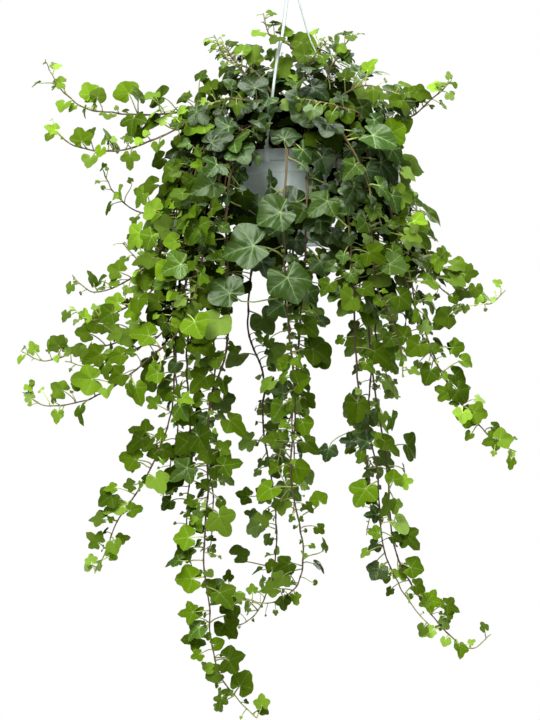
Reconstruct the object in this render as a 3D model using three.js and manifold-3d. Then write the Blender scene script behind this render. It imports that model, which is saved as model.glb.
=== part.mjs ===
// Hanging potted English ivy: a small-leaved trailing ivy in a round plastic pot on a moulded
// three-strap hanger. Millimetres, +Z up, origin on the seat inside the hook, where the pot hangs.
import * as THREE from 'three';
import { mergeVertices } from 'three/addons/utils/BufferGeometryUtils.js';
import Module from 'manifold-3d';

const wasm = await Module();
wasm.setup();
const V = (x, y, z) => new THREE.Vector3(x, y, z);
const UP = V(0, 0, 1);

// Driving dimensions
const rimDrop = 338;            // from the hook's seat down to the top of the pot's rim
const rimRadius = 85;
const bandHeight = 18;          // the rim band's height
const bandStep = 2.3;           // how far the wall steps in under the band
const wallLine = 37;            // depth of the second, faint step
const potHeight = 150;
const baseRadius = 62;
const rimWall = 2.5;
const soilDepth = 15;           // soil surface below the rim
const stemDepth = 26;           // how deep the stems stand in the soil
const gap = 0.3;                // clearance between pieces that touch
const roundSteps = 32;

const strapWidth = 4.6;
const strapThickness = 2.4;
const strapAzimuths = [-27.4, 92.6, -147.4];
const clipWidth = 7.3;
const hookInner = 12;
const hookRod = 2.6;
const hubDrop = 46;             // the straps' hub below the hook's seat

const stemFoot = 1.9;           // stem radius at the soil
const stemTip = 1.2;            // stem radius at the growing tip
const stepTaper = 1.2;          // above 1, leaf nodes stand closer towards a tip
const bladeThickness = 0.7;
const stemClearance = 6;        // least distance between the middles of two stems
const leafClearance = 0.7;      // least gap between a leaf and anything else
const leafTries = 14;

// Azimuths are in degrees from the front (-Y), growing towards +X. Points of the vines are in
// millimetres from the middle of the rim's top: right, back, up.
const radial = (azimuth, radius, z = 0) => {
  const a = THREE.MathUtils.degToRad(azimuth);
  return V(radius * Math.sin(a), -radius * Math.cos(a), z);
};

// One repeatable number from 0 to 1 for each vine, leaf node, try and purpose.
const draw = (vine, node, attempt, purpose) =>
  THREE.MathUtils.seededRandom(vine * 100000 + node * 1000 + attempt * 20 + purpose);
const spread = (...key) => 2 * draw(...key) - 1;

// Solids

function solid(geometry) {
  const bare = geometry.index ? geometry.toNonIndexed() : geometry.clone();
  bare.deleteAttribute('normal');
  bare.deleteAttribute('uv');
  const merged = mergeVertices(bare, 1e-4);
  const index = merged.index.array;
  const kept = [];
  for (let i = 0; i < index.length; i += 3) {
    const [a, b, c] = [index[i], index[i + 1], index[i + 2]];
    if (a !== b && b !== c && c !== a) kept.push(a, b, c);
  }
  const mesh = new wasm.Mesh({
    numProp: 3,
    vertProperties: new Float32Array(merged.attributes.position.array),
    triVerts: new Uint32Array(kept),
  });
  return new wasm.Manifold(mesh);
}

function geometryOf(manifold) {
  const mesh = manifold.getMesh();
  const geometry = new THREE.BufferGeometry();
  geometry.setAttribute('position', new THREE.BufferAttribute(mesh.vertProperties, 3));
  geometry.setIndex(new THREE.BufferAttribute(mesh.triVerts, 1));
  return geometry;
}

function triangleMesh(points, triangles) {
  const geometry = new THREE.BufferGeometry();
  const positions = points.flatMap(p => p.toArray());
  geometry.setAttribute('position', new THREE.Float32BufferAttribute(positions, 3));
  geometry.setIndex(triangles.flat());
  return geometry;
}

function lathe(profile, steps = roundSteps) {
  const turned = new THREE.LatheGeometry(profile.map(([r, z]) => new THREE.Vector2(r, z)), steps);
  return turned.rotateX(Math.PI / 2);
}

// Directions along and across a line. The across ones are turned back with the line from its end,
// where they face the given way.
function acrossLine(points, facing) {
  const last = points.length - 1;
  const alongAt = points.map((_, i) =>
    points[Math.min(i + 1, last)].clone().sub(points[Math.max(i - 1, 0)]).normalize());
  const ways = [];
  let way = facing.clone().addScaledVector(alongAt[last], -facing.dot(alongAt[last])).normalize();
  for (let i = last; i >= 0; i--) {
    const turn = new THREE.Quaternion().setFromUnitVectors(alongAt[Math.min(i + 1, last)], alongAt[i]);
    way = way.clone().applyQuaternion(turn);
    ways.unshift({ along: alongAt[i], way });
  }
  return ways;
}

// The corners of a tube's rings: one ring of corners for each point of its line.
function ringCorners(points, radii, ways, sides) {
  return points.flatMap((point, i) => Array.from({ length: sides }, (_, s) => {
    const { along, way } = ways[i];
    const angle = 2 * Math.PI * s / sides;
    return point.clone()
      .addScaledVector(way, radii[i] * Math.cos(angle))
      .addScaledVector(along.clone().cross(way), radii[i] * Math.sin(angle));
  }));
}

// The corner numbers of the tube's side between two rings, anticlockwise from outside.
function tubeSide(ring, s, sides) {
  const next = (s + 1) % sides;
  const [low, high] = [(ring - 1) * sides, ring * sides];
  return [low + s, low + next, high + next, high + s];
}

function tubeEnds(rings, sides) {
  const last = (rings - 1) * sides;
  const fans = [];
  for (let s = 1; s < sides - 1; s++) fans.push([0, s + 1, s], [last, last + s, last + s + 1]);
  return fans;
}

// A tapered tube along a line, closed at both ends.
function tube(points, radii, ways, sides = 3) {
  const triangles = tubeEnds(points.length, sides);
  for (let ring = 1; ring < points.length; ring++) {
    for (let s = 0; s < sides; s++) {
      const [a, b, c, d] = tubeSide(ring, s, sides);
      triangles.push([a, b, c], [a, c, d]);
    }
  }
  return triangleMesh(ringCorners(points, radii, ways, sides), triangles);
}

// Pot, soil and hanger

const floorHeight = -potHeight + 5;  // top of the pot's floor
const innerWall = [[rimRadius - rimWall, -8], [78.5, -38], [baseRadius - 2, floorHeight - 2.5]];

function innerRadius(z) {
  const below = innerWall.findIndex(([, height]) => height < z);
  const [[r1, z1], [r2, z2]] = [innerWall[below - 1], innerWall[below]];
  return r2 + (r1 - r2) * (z - z2) / (z1 - z2);
}

function pot() {
  const footWidth = 7;
  const footHeight = 3;
  const upper = rimRadius - bandStep;
  const shell = solid(lathe([
    [0, -potHeight + footHeight],
    [baseRadius - footWidth - 1, -potHeight + footHeight],
    [baseRadius - footWidth, -potHeight],
    [baseRadius, -potHeight],
    [upper - 2.7, -wallLine - 0.5],
    [upper - 1.5, -wallLine],
    [upper, -bandHeight - 0.2],
    [rimRadius, -bandHeight],
    [rimRadius, -1],
    [rimRadius - 0.8, 0],
    [rimRadius - rimWall, 0],
    ...innerWall,
    [0, floorHeight],
  ]));
  const drains = Array.from({ length: 6 }, (_, i) => {
    const drain = new THREE.CylinderGeometry(4, 4, 12, 6).rotateX(Math.PI / 2);
    const at = radial(60 * i, 38, -potHeight + footHeight);
    return solid(drain.translate(at.x, at.y, at.z));
  });
  return wasm.Manifold.difference([shell, ...drains]);
}

function soil(stems) {
  const skin = gap + 0.1;
  const [floor, bend, edge] = [floorHeight + 0.5, innerWall[1][1], -soilDepth - 3];
  const body = solid(lathe([
    [0, floor],
    ...[floor, bend, edge].map(z => [innerRadius(z) - skin, z]),
    [0, -soilDepth + 2],
  ]));
  const holeRadius = stemFoot + 2 * gap;
  const holes = stems.map(({ nodes, ways }) => {
    const ends = [nodes[0].clone().setZ(-soilDepth - stemDepth - 1), nodes[0].clone().setZ(5)];
    return solid(tube(ends, [holeRadius, holeRadius], [ways[0], ways[0]]));
  });
  return wasm.Manifold.difference([body, ...holes]);
}

// The straps' middle line, as distance from the pot's axis and height over the rim.
const strapLine = [[86.6, 4], [83, 20], [75, 50], [50, 143], [31, 188], [13, 250], [4, 284]];

function strapPoints(azimuth) {
  return strapLine.map(([r, z]) => radial(azimuth, r, z));
}

function hanger() {
  const [w, t] = [strapWidth / 2, strapThickness / 2];
  const section = new THREE.Shape([[-w, -t], [w, -t], [w, t], [-w, t]].map(p => new THREE.Vector2(...p)));
  const line = new THREE.CatmullRomCurve3(strapLine.map(([r, z]) => V(r, 0, z)));
  const strap = new THREE.ExtrudeGeometry(section, { steps: 8, extrudePath: line });

  // The clip reaches over the rim, down outside the band and hooks in under it.
  const [face, back] = [rimRadius + gap, rimRadius + gap + strapThickness];
  const flats = Math.cos(Math.PI / roundSteps);
  const inside = (rimRadius - rimWall) * flats - gap - 0.1;
  const under = rimRadius - bandStep + gap;
  const [clipTop, clipLip, clipFoot] = [14, -5, -bandHeight - 3.2];
  const clipOutline = [
    [back, clipFoot], [back, clipTop], [face, clipTop], [face, 2.7],
    [inside - 2, 2.7], [inside - 2, clipLip], [inside, clipLip], [inside, gap],
    [face, gap], [face, -bandHeight - gap], [under, -bandHeight - gap], [under, clipFoot],
  ];
  const clipShape = new THREE.Shape(clipOutline.map(([r, z]) => new THREE.Vector2(r, z)));
  const clip = new THREE.ExtrudeGeometry(clipShape, { depth: clipWidth, bevelEnabled: false });
  clip.translate(0, 0, -clipWidth / 2).rotateX(Math.PI / 2);

  const arms = strapAzimuths.flatMap(azimuth => {
    const turn = THREE.MathUtils.degToRad(azimuth - 90);
    return [solid(strap.clone().rotateZ(turn)), solid(clip.clone().rotateZ(turn))];
  });

  const hubHeight = rimDrop - hubDrop;
  const hub = solid(lathe([[0, -14], [7, -12], [8.5, -4], [6.5, 4], [3.4, 8], [0, 8]], 10));
  const eye = rimDrop - hookInner;
  const rod = hookInner + hookRod;
  const hookPath = [V(0, 0, hubHeight + 2), V(0, 0, hubHeight + 12)];
  for (let angle = -25; angle <= 205; angle += 23) {
    const a = THREE.MathUtils.degToRad(angle);
    hookPath.push(V(rod * Math.cos(a), 0, eye + rod * Math.sin(a)));
  }
  const hook = solid(tube(hookPath, hookPath.map(() => hookRod), acrossLine(hookPath, V(0, 1, 0)), 8));
  return wasm.Manifold.union([...arms, hub.translate(0, 0, hubHeight), hook]);
}

// Vines: name, root azimuth, root radius, crest [radius, height], points from there to the tip, and
// the step between leaf nodes. The crest is where the stem passes over the rim.
const vineRoutes = [
  // Long strands that trail below the pot
  ['long_left', -36, 62, [94, 22], [
    [-100, -125, -55], [-100, -140, -180], [-100, -135, -305], [-118, -130, -375], [-133, -127, -430],
    [-132, -122, -560], [-140, -120, -635], [-130, -118, -730], [-124, -115, -805], [-98, -112, -860],
    [-55, -110, -905]], 66],
  ['left_companion', -50, 48, [96, 38], [
    [-132, -108, -70], [-155, -120, -215], [-166, -112, -355], [-158, -108, -480],
    [-166, -104, -590], [-160, -100, -660]], 71],
  ['under_pot', -160, 58, [96, 20], [
    [-56, 112, -65], [-60, 95, -175], [-74, 55, -265], [-57, 35, -330], [-40, 15, -385], [-46, 0, -450],
    [-30, -15, -535], [-24, -30, -620], [-32, -35, -695], [-58, -40, -750], [-105, -50, -772]], 71],
  ['front_long', -3, 62, [94, 20], [
    [-10, -122, -55], [-12, -132, -160], [-8, -130, -260], [2, -125, -340], [6, -120, -425],
    [-2, -115, -490], [0, -110, -545], [16, -106, -610], [16, -102, -680], [-10, -100, -715],
    [-42, -96, -726], [-72, -95, -718]], 69],
  ['front_companion', 15, 62, [95, 22], [
    [25, -118, -85], [18, -108, -225], [10, -98, -320], [4, -92, -400], [-12, -88, -465],
    [-24, -84, -510]], 71],
  ['right_long', 33, 62, [94, 24], [
    [83, -118, -70], [95, -126, -195], [101, -124, -305], [106, -120, -385], [122, -116, -450],
    [137, -113, -525], [142, -110, -615], [158, -108, -668], [184, -106, -718], [222, -104, -762]], 69],
  ['right_companion', 57, 62, [94, 24], [
    [120, -80, -65], [132, -92, -195], [124, -95, -305], [138, -95, -415], [152, -95, -510],
    [160, -95, -615], [182, -94, -682], [218, -92, -734], [252, -90, -778], [285, -90, -798],
    [318, -88, -775]], 69],
  ['lower_left', -57, 62, [96, 26], [
    [-145, -92, -20], [-168, -108, -140], [-182, -115, -275], [-186, -115, -380], [-198, -115, -455],
    [-222, -112, -505], [-246, -110, -550], [-277, -110, -597], [-294, -110, -640], [-312, -110, -676]], 66],

  // Fan of strands to the left
  ['left_fan_lowest', -43, 62, [95, 24], [
    [-116, -130, -55], [-140, -150, -180], [-163, -155, -275], [-210, -160, -322], [-256, -160, -366],
    [-302, -160, -392], [-355, -160, -410], [-398, -160, -405], [-420, -160, -388]], 66],
  ['left_fan_low', -50, 62, [96, 24], [
    [-130, -105, -30], [-157, -125, -150], [-176, -135, -250], [-208, -140, -300], [-255, -145, -326],
    [-296, -146, -341], [-330, -147, -351], [-355, -148, -340]], 66],
  ['left_fan_middle', -64, 62, [98, 26], [
    [-145, -80, -8], [-176, -104, -110], [-195, -114, -192], [-225, -120, -232], [-262, -122, -256],
    [-300, -125, -272], [-328, -125, -274], [-350, -125, -254]], 64],
  ['left_fan_high', -76, 62, [96, 42], [
    [-140, -40, 15], [-176, -60, -55], [-196, -70, -125], [-212, -75, -166], [-242, -79, -196],
    [-278, -82, -220], [-318, -84, -229], [-346, -86, -210]], 64],
  ['left_fan_far', -94, 60, [96, 50], [
    [-140, 5, 40], [-172, -5, -50], [-190, -20, -160], [-216, -28, -256], [-255, -32, -300],
    [-297, -35, -312], [-338, -38, -322], [-378, -40, -336], [-412, -40, -340], [-436, -42, -324]], 66],
  ['left_whip', -112, 60, [98, 46], [
    [-146, 62, 22], [-186, 64, -55], [-211, 56, -95], [-238, 50, -97], [-267, 45, -84], [-296, 40, -55],
    [-310, 40, -24]], 60],
  ['left_low_stub', -124, 60, [98, 44], [
    [-152, 74, -5], [-192, 60, -112], [-217, 40, -168], [-246, 30, -176], [-276, 20, -146]], 69],

  // Fan of strands to the right
  ['right_fan_long', 67, 62, [96, 36], [
    [140, -60, -40], [166, -74, -140], [186, -80, -225], [206, -84, -272], [222, -88, -322],
    [252, -90, -380], [296, -90, -438], [336, -94, -476], [358, -95, -484]], 64],
  ['right_fan_inner', 44, 62, [95, 26], [
    [110, -102, -55], [127, -115, -150], [137, -120, -230], [162, -121, -282], [172, -120, -322],
    [176, -116, -366]], 60],
  ['right_fan_middle', 80, 62, [96, 42], [
    [136, -20, -20], [162, -34, -100], [186, -44, -155], [216, -49, -196], [246, -51, -226],
    [277, -52, -255]], 64],
  ['right_whip', 104, 60, [98, 44], [
    [160, 40, -12], [200, 32, -105], [226, 22, -160], [252, 10, -192], [284, 0, -222], [316, -5, -244],
    [337, -8, -246], [350, -10, -224]], 64],
  ['right_short', 116, 60, [96, 40], [
    [136, 60, -40], [146, 46, -170], [140, 22, -290], [147, 12, -342], [161, 8, -368],
    [173, 5, -400]], 69],

  // Shoots that rise or reach out over the rim
  ['top_right', 76, 32, [84, 66], [
    [120, -6, 62], [160, -2, 54], [186, 2, 56], [212, 2, 72], [240, -4, 96], [256, -8, 106],
    [262, -10, 118]], 55],
  ['top_left_high', -79, 40, [88, 66], [
    [-126, -25, 72], [-166, -30, 66], [-212, -35, 60], [-275, -44, 60], [-325, -48, 66],
    [-356, -50, 78], [-372, -50, 102], [-390, -50, 130]], 60],
  ['top_left_low', -66, 44, [92, 48], [
    [-140, -62, 48], [-186, -70, 34], [-212, -75, 18], [-246, -79, 2], [-288, -82, -5],
    [-332, -84, 0], [-364, -85, 14], [-384, -85, 34]], 60],
  ['top_center', -38, 24, [40, 72], [
    [-34, -36, 108], [-56, -32, 126], [-85, -30, 136], [-106, -27, 152], [-120, -25, 172],
    [-125, -25, 190]], 55],
  ['top_tall', 60, 18, [38, 70], [
    [38, -22, 122], [22, -22, 154], [0, -22, 172], [-24, -21, 176], [-36, -20, 196],
    [-45, -20, 226]], 55],
  ['top_front', 50, 36, [92, 48], [
    [112, -94, 46], [96, -114, 58], [66, -120, 66], [36, -124, 70], [8, -124, 74]], 58],

  // Strands of the back
  ['back_left_long', -130, 60, [98, 24], [
    [-120, 98, -60], [-134, 96, -200], [-126, 92, -340], [-140, 90, -480], [-128, 88, -580],
    [-136, 88, -665]], 71],
  ['back_right_long', 128, 60, [98, 24], [
    [118, 98, -60], [130, 96, -200], [138, 92, -340], [124, 90, -470], [136, 90, -560],
    [128, 92, -632]], 71],
  ['back_left_fan', -106, 46, [100, 58], [
    [-158, 58, -30], [-186, 72, -160], [-196, 66, -300], [-186, 62, -430], [-200, 60, -510],
    [-212, 56, -566]], 71],
  ['back_middle_long', 176, 60, [98, 22], [
    [8, 132, -70], [4, 128, -200], [16, 124, -330], [2, 122, -450], [12, 120, -530], [4, 118, -600]], 71],
  ['back_right_fan', 118, 42, [100, 56], [
    [150, 88, 0], [192, 104, -110], [206, 108, -220], [222, 106, -300], [252, 100, -352],
    [276, 96, -376]], 69],
  ['back_right_short', 146, 44, [100, 46], [
    [104, 150, -20], [124, 176, -120], [120, 184, -220], [134, 186, -290]], 69],
  ['back_middle_short', 180, 44, [100, 48], [
    [-4, 160, -20], [4, 196, -120], [-6, 204, -220], [2, 206, -290]], 69],
];

// Short crown shoots, spread round the pot by the golden angle in three storeys: rising, reaching
// out, and hanging over the rim.
const crownShoots = 18;
const goldenAngle = 137.5;
const crownStoreys = [
  [[34, 30], [54, 84], [80, 132], [108, 168]],
  [[52, 26], [96, 66], [146, 88], [196, 74]],
  [[70, 20], [116, 38], [152, 4], [172, -62], [178, -128]],
];

function crownRoute(i) {
  const azimuth = (i * goldenAngle + 20) % 360 - 180;
  const storey = crownStoreys[i % 3];
  const lean = 14 * spread(100 + i, 0, 0, 0);
  const reach = 1 + 0.14 * spread(100 + i, 0, 0, 1);
  const points = storey.map(([r, z], j) => radial(azimuth + lean * j, r * reach, z * reach).toArray());
  const rootRadius = [10, 22, 32][i % 3];
  return [`crown_${String(i + 1).padStart(2, '0')}`, azimuth, rootRadius, null, points, 38];
}

const routes = [...vineRoutes, ...Array.from({ length: crownShoots }, (_, i) => crownRoute(i))];

// Large leaves placed by hand: vine, node, notch, tip direction, width.
const placedLeaves = [
  ['front_long', 4, [-18, -164, -108], [-0.9, -0.25, -0.4], 64],
  ['front_long', 5, [-60, -166, -160], [-1, -0.1, -0.12], 76],
  ['front_long', 6, [-7, -172, -210], [0.35, -0.25, -1], 72],
  ['front_companion', 6, [-97, -166, -234], [-0.63, -0.2, 0.77], 60],
  ['long_left', 7, [-114, -172, -276], [-0.6, -0.2, -0.8], 50],
];

// Stems

function stemNodes([, azimuth, rootRadius, crest, points, step]) {
  const root = radial(azimuth, rootRadius, -soilDepth - stemDepth);
  const mouth = root.clone().setZ(-soilDepth + 6);
  const arch = crest ? [radial(azimuth, crest[0], crest[1])] : [];
  const line = new THREE.CatmullRomCurve3(
    [...arch, ...points.map(p => V(...p))], false, 'catmullrom', 0.5);
  const count = Math.round(line.getLength() / step);
  const nodes = Array.from({ length: count + 1 }, (_, i) =>
    line.getPointAt(1 - (1 - i / count) ** stepTaper));
  return [root, mouth, ...nodes];
}

// The two nearest points of two segments, as fractions along each.
function nearestFractions(a, b, c, d) {
  const u = b.clone().sub(a);
  const v = d.clone().sub(c);
  const w = a.clone().sub(c);
  const [uu, uv, vv, uw, vw] = [u.dot(u), u.dot(v), v.dot(v), u.dot(w), v.dot(w)];
  const clamp = x => Math.min(1, Math.max(0, x));
  const even = uu * vv - uv * uv;
  let s = even > 1e-9 ? clamp((uv * vw - vv * uw) / even) : 0.5;
  const t = clamp((uv * s + vw) / vv);
  s = clamp((uv * t - uw) / uu);
  return [s, t];
}

// Stems that come too near each other, or to a strap of the hanger, are bent clear, a little in
// each round. A stem's first two points stay in their hole in the soil.
function bendClear(stems, straps) {
  const rounds = 60;
  const reach = 30;
  const segments = [];
  stems.forEach((nodes, stem) => nodes.slice(1).forEach((_, i) => segments.push([stem, i])));
  straps.forEach((nodes, strap) => nodes.slice(1).forEach((_, i) => segments.push([-1 - strap, i])));
  const line = stem => (stem < 0 ? straps[-1 - stem] : stems[stem]);
  const ends = ([stem, i]) => [line(stem)[i], line(stem)[i + 1]];
  const pairs = [];
  segments.forEach((one, i) => segments.slice(i + 1).forEach(other => {
    if (one[0] === other[0] || (one[0] < 0 && other[0] < 0)) return;
    const [a, b] = ends(one);
    const [c, d] = ends(other);
    const middles = a.clone().add(b).sub(c).sub(d).length() / 2;
    if (middles < (a.distanceTo(b) + c.distanceTo(d)) / 2 + reach) pairs.push([one, other]);
  }));
  for (let round = 0; round < rounds; round++) {
    const pushes = stems.map(nodes => nodes.map(() => V(0, 0, 0)));
    for (const [one, other] of pairs) {
      const [a, b] = ends(one);
      const [c, d] = ends(other);
      const [s, t] = nearestFractions(a, b, c, d);
      const apart = a.clone().lerp(b, s).sub(c.clone().lerp(d, t));
      const short = stemClearance - apart.length();
      if (short <= 0) continue;
      apart.normalize().multiplyScalar(short * 0.6);
      const push = ([stem, i], fraction, sign) => {
        if (stem < 0) return;
        if (i > 1) pushes[stem][i].addScaledVector(apart, sign * (1 - fraction));
        if (i > 0) pushes[stem][i + 1].addScaledVector(apart, sign * fraction);
      };
      push(one, s, 1);
      push(other, t, -1);
    }
    stems.forEach((nodes, stem) => nodes.forEach((node, i) => node.add(pushes[stem][i])));
  }
}

// Leaves. Outlines are right halves from the notch round to the tip, in leaf widths.
const leafOutlines = {
  large: [[0.24, -0.27], [0.37, -0.08], [0.52, 0.16], [0.26, 0.33]],
  middle: [[0.27, -0.25], [0.50, 0.13], [0.26, 0.34]],
  small: [[0.30, -0.18], [0.42, 0.20]],
};
const leafTip = 0.72;
const largeFrom = 68;           // leaf widths from which the outline is large, or middle
const middleFrom = 36;

function outlineFor(width) {
  if (width > largeFrom) return leafOutlines.large;
  return width > middleFrom ? leafOutlines.middle : leafOutlines.small;
}

// Leaf width along a stem: large over the rim, smaller down the strand, small and young at the tip.
function leafWidth(vine, node, last, attempt) {
  const along = node / last;
  const grown = along < 0.35 ? 62 : 62 - 17 * (along - 0.35) / 0.65;
  const young = Math.min(1, 0.42 + 0.24 * (last - node));
  return grown * young * (1 + 0.16 * spread(vine, node, 0, 9)) * (1 - 0.02 * attempt);
}

// Which way a vine's leaves face: outwards, and more to the front or the back than to the side.
function vineFacing(vine, at) {
  const azimuth = routes[vine][1];
  const front = Math.abs(azimuth) < 115 ? -1 : 1;
  const facing = V(at.x, at.y, 0).addScaledVector(radial(azimuth, 40), 1).normalize().multiplyScalar(0.6);
  return facing.add(V(0, 0.8 * front, 0)).normalize();
}

// A leaf grows from the middle of the stem's stretch below its node, and the last one near the tip.
function leafFoot(nodes, node) {
  const along = node === nodes.length - 1 ? 0.75 : 0.5;
  return { node, along, foot: nodes[node - 1].clone().lerp(nodes[node], along) };
}

// Where a leaf stands and how it faces. Leaves take turns left and right of their stem, face out
// and up, and let their tips hang.
function leafPose(nodes, vine, node, attempt) {
  const last = nodes.length - 1;
  const { foot, ...seat } = leafFoot(nodes, node);
  const along = nodes[node].clone().sub(nodes[node - 1]).normalize();
  const wilder = 1 + 0.12 * attempt;
  const facing = vineFacing(vine, foot);
  facing.applyAxisAngle(UP, 0.55 * wilder * spread(vine, node, attempt, 1));
  const height = Math.min(1, Math.max(0, (foot.z + 60) / 260));
  const rise = 0.4 + 0.55 * height + 0.3 * wilder * spread(vine, node, attempt, 2);
  const normal = facing.clone().multiplyScalar(Math.cos(rise)).addScaledVector(UP, Math.sin(rise));
  const turned = node % 2 === (attempt % 5 === 4 ? 1 : 0) ? 1 : -1;
  const side = along.clone().cross(normal);
  if (side.length() < 0.3) side.add(V(0.5, 0, 0));
  side.normalize().multiplyScalar(turned);
  const width = leafWidth(vine, node, last, attempt);
  const stalk = (0.42 * width + 7) * (1 + 0.3 * wilder * spread(vine, node, attempt, 3));
  const stalkWay = side.clone().multiplyScalar(0.75)
    .addScaledVector(facing, 0.42 + 0.2 * spread(vine, node, attempt, 4))
    .addScaledVector(UP, 0.15 + 0.3 * spread(vine, node, attempt, 5))
    .addScaledVector(along, 0.25)
    .normalize();
  const tip = stalkWay.clone().multiplyScalar(0.9)
    .addScaledVector(UP, -0.6 - 0.35 * spread(vine, node, attempt, 6));
  const fold = 0.14 + 0.1 * spread(vine, node, 0, 7);
  const droop = 0.22 + 0.14 * spread(vine, node, 0, 8);
  const notch = foot.clone().addScaledVector(stalkWay, stalk);
  return { ...seat, foot, notch, normal, tip, width, fold, droop };
}

function placedPose(nodes, node, notch, tip, width) {
  const normal = V(0.1 * Math.sign(tip[0]), -0.9, 0.42).normalize();
  return {
    ...leafFoot(nodes, node), notch: V(...notch), normal, tip: V(...tip), width, fold: 0.12, droop: 0.2,
  };
}

// A leaf's folded blade and the petiole that runs on from its notch. Its last three corners are the
// open end of the petiole. A leaf that is grown, to test for clearance, is larger all round.
function leafSkin(leaf, grow = 0, withPetiole = true) {
  const outline = outlineFor(leaf.width);
  const n = leaf.normal.clone().normalize();
  const y = leaf.tip.clone().addScaledVector(n, -leaf.tip.dot(n)).normalize();
  const x = y.clone().cross(n);
  const size = leaf.width + 2 * grow;
  const middle = 0.25 * leaf.width;
  const spot = (across, ahead, lift) => {
    const bend = leaf.fold * Math.abs(across) - leaf.droop * Math.max(0, ahead) ** 2;
    return leaf.notch.clone()
      .addScaledVector(x, across * size)
      .addScaledVector(y, (ahead - 0.25) * size + middle)
      .addScaledVector(n, bend * leaf.width + lift);
  };
  const petiole = petioleRadius(leaf.width) + grow;
  const left = outline.map(([a, b]) => [-a, b]).reverse();
  const rim = [...outline, [0, leafTip], ...left];
  const bottom = -bladeThickness - grow;
  const points = [
    ...rim.map(([a, b]) => spot(a, b, grow)),
    ...rim.map(([a, b]) => spot(a, b, bottom)),
    spot(-petiole / size, 0, grow), spot(petiole / size, 0, grow), spot(0, 0, bottom - 0.6),
  ];
  const [notchLeft, notchRight, notchUnder] = [0, 1, 2].map(i => 2 * rim.length + i);
  const tipAt = outline.length;
  const triangles = [[notchLeft, notchRight, tipAt]];
  for (let i = 0; i < rim.length - 1; i++) {
    const pivot = i < tipAt ? notchRight : notchLeft;
    const [lower, next] = [rim.length + i, rim.length + i + 1];
    triangles.push([pivot, i, i + 1], [notchUnder, next, lower], [lower, next, i + 1], [lower, i + 1, i]);
  }
  const [end, lowerEnd] = [rim.length - 1, 2 * rim.length - 1];
  triangles.push([notchUnder, rim.length, 0], [notchUnder, 0, notchRight]);
  triangles.push([lowerEnd, notchUnder, notchLeft], [lowerEnd, notchLeft, end]);
  const skin = { points, triangles };
  if (!withPetiole) return skin;

  // The petiole runs straight on from the notch, or over a knee where it comes from the tip's side.
  const away = leaf.notch.clone().sub(leaf.foot).normalize();
  const round = (centre, way) => {
    const turn = new THREE.Quaternion().setFromUnitVectors(y, way);
    return [[-0.87, 0.5], [0.87, 0.5], [0, -1]].map(([a, b]) => centre.clone().addScaledVector(
      x.clone().multiplyScalar(a).addScaledVector(n, b).applyQuaternion(turn), petiole));
  };
  if (away.dot(y) < 0.25) {
    const knee = leaf.notch.clone().addScaledVector(y, -3.5).addScaledVector(n, -1);
    lengthen(skin, round(knee, y.clone().add(away).normalize()));
  }
  lengthen(skin, round(leaf.foot, away));
  return skin;
}

const petioleRadius = width => 0.55 + 0.004 * width;

// Carries a skin's open end, its last three corners, on to three new ones.
function lengthen({ points, triangles }, corners) {
  const from = points.length - 3;
  const to = points.push(...corners) - 3;
  for (const [a, b] of [[1, 0], [0, 2], [2, 1]]) {
    triangles.push([from + a, from + b, to + b], [from + a, to + b, to + a]);
  }
}

function leafSolid(leaf, grow, withPetiole) {
  const { points, triangles } = leafSkin(leaf, grow, withPetiole);
  const end = points.length - 3;
  return solid(triangleMesh(points, [...triangles, [end + 1, end, end + 2]]));
}

// The side of a stem's stretch that best faces a leaf's petiole: its corners, middle and normal.
function footSide(corners, ring, leaf) {
  const away = leaf.notch.clone().sub(leaf.foot).normalize();
  const sides = [0, 1, 2].map(s => {
    const numbers = tubeSide(ring, s, 3);
    const [a, b, c, d] = numbers.map(i => corners[i]);
    const normal = b.clone().sub(a).cross(d.clone().sub(a)).normalize();
    const t = leaf.along;
    const middle = a.clone().add(b).multiplyScalar((1 - t) / 2).addScaledVector(c.clone().add(d), t / 2);
    return { numbers, normal, middle, facing: normal.dot(away), s };
  });
  return sides.sort((p, q) => q.facing - p.facing)[0];
}

// A vine as one closed body: the stem's skin, open where each petiole's foot joins it.
function vineGeometry({ nodes, ways }, radii, leaves) {
  const points = ringCorners(nodes, radii, ways, 3);
  const triangles = tubeEnds(nodes.length, 3);
  const feet = new Map(leaves.map(leaf => [leaf.node, leaf]));
  for (let ring = 1; ring < nodes.length; ring++) {
    const leaf = feet.get(ring);
    const foot = leaf && footSide(points, ring, leaf);
    for (let s = 0; s < 3; s++) {
      const [a, b, c, d] = tubeSide(ring, s, 3);
      if (foot && foot.s === s) joinLeaf(points, triangles, leaf, foot);
      else triangles.push([a, b, c], [a, c, d]);
    }
  }
  return triangleMesh(points, triangles);
}

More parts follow.
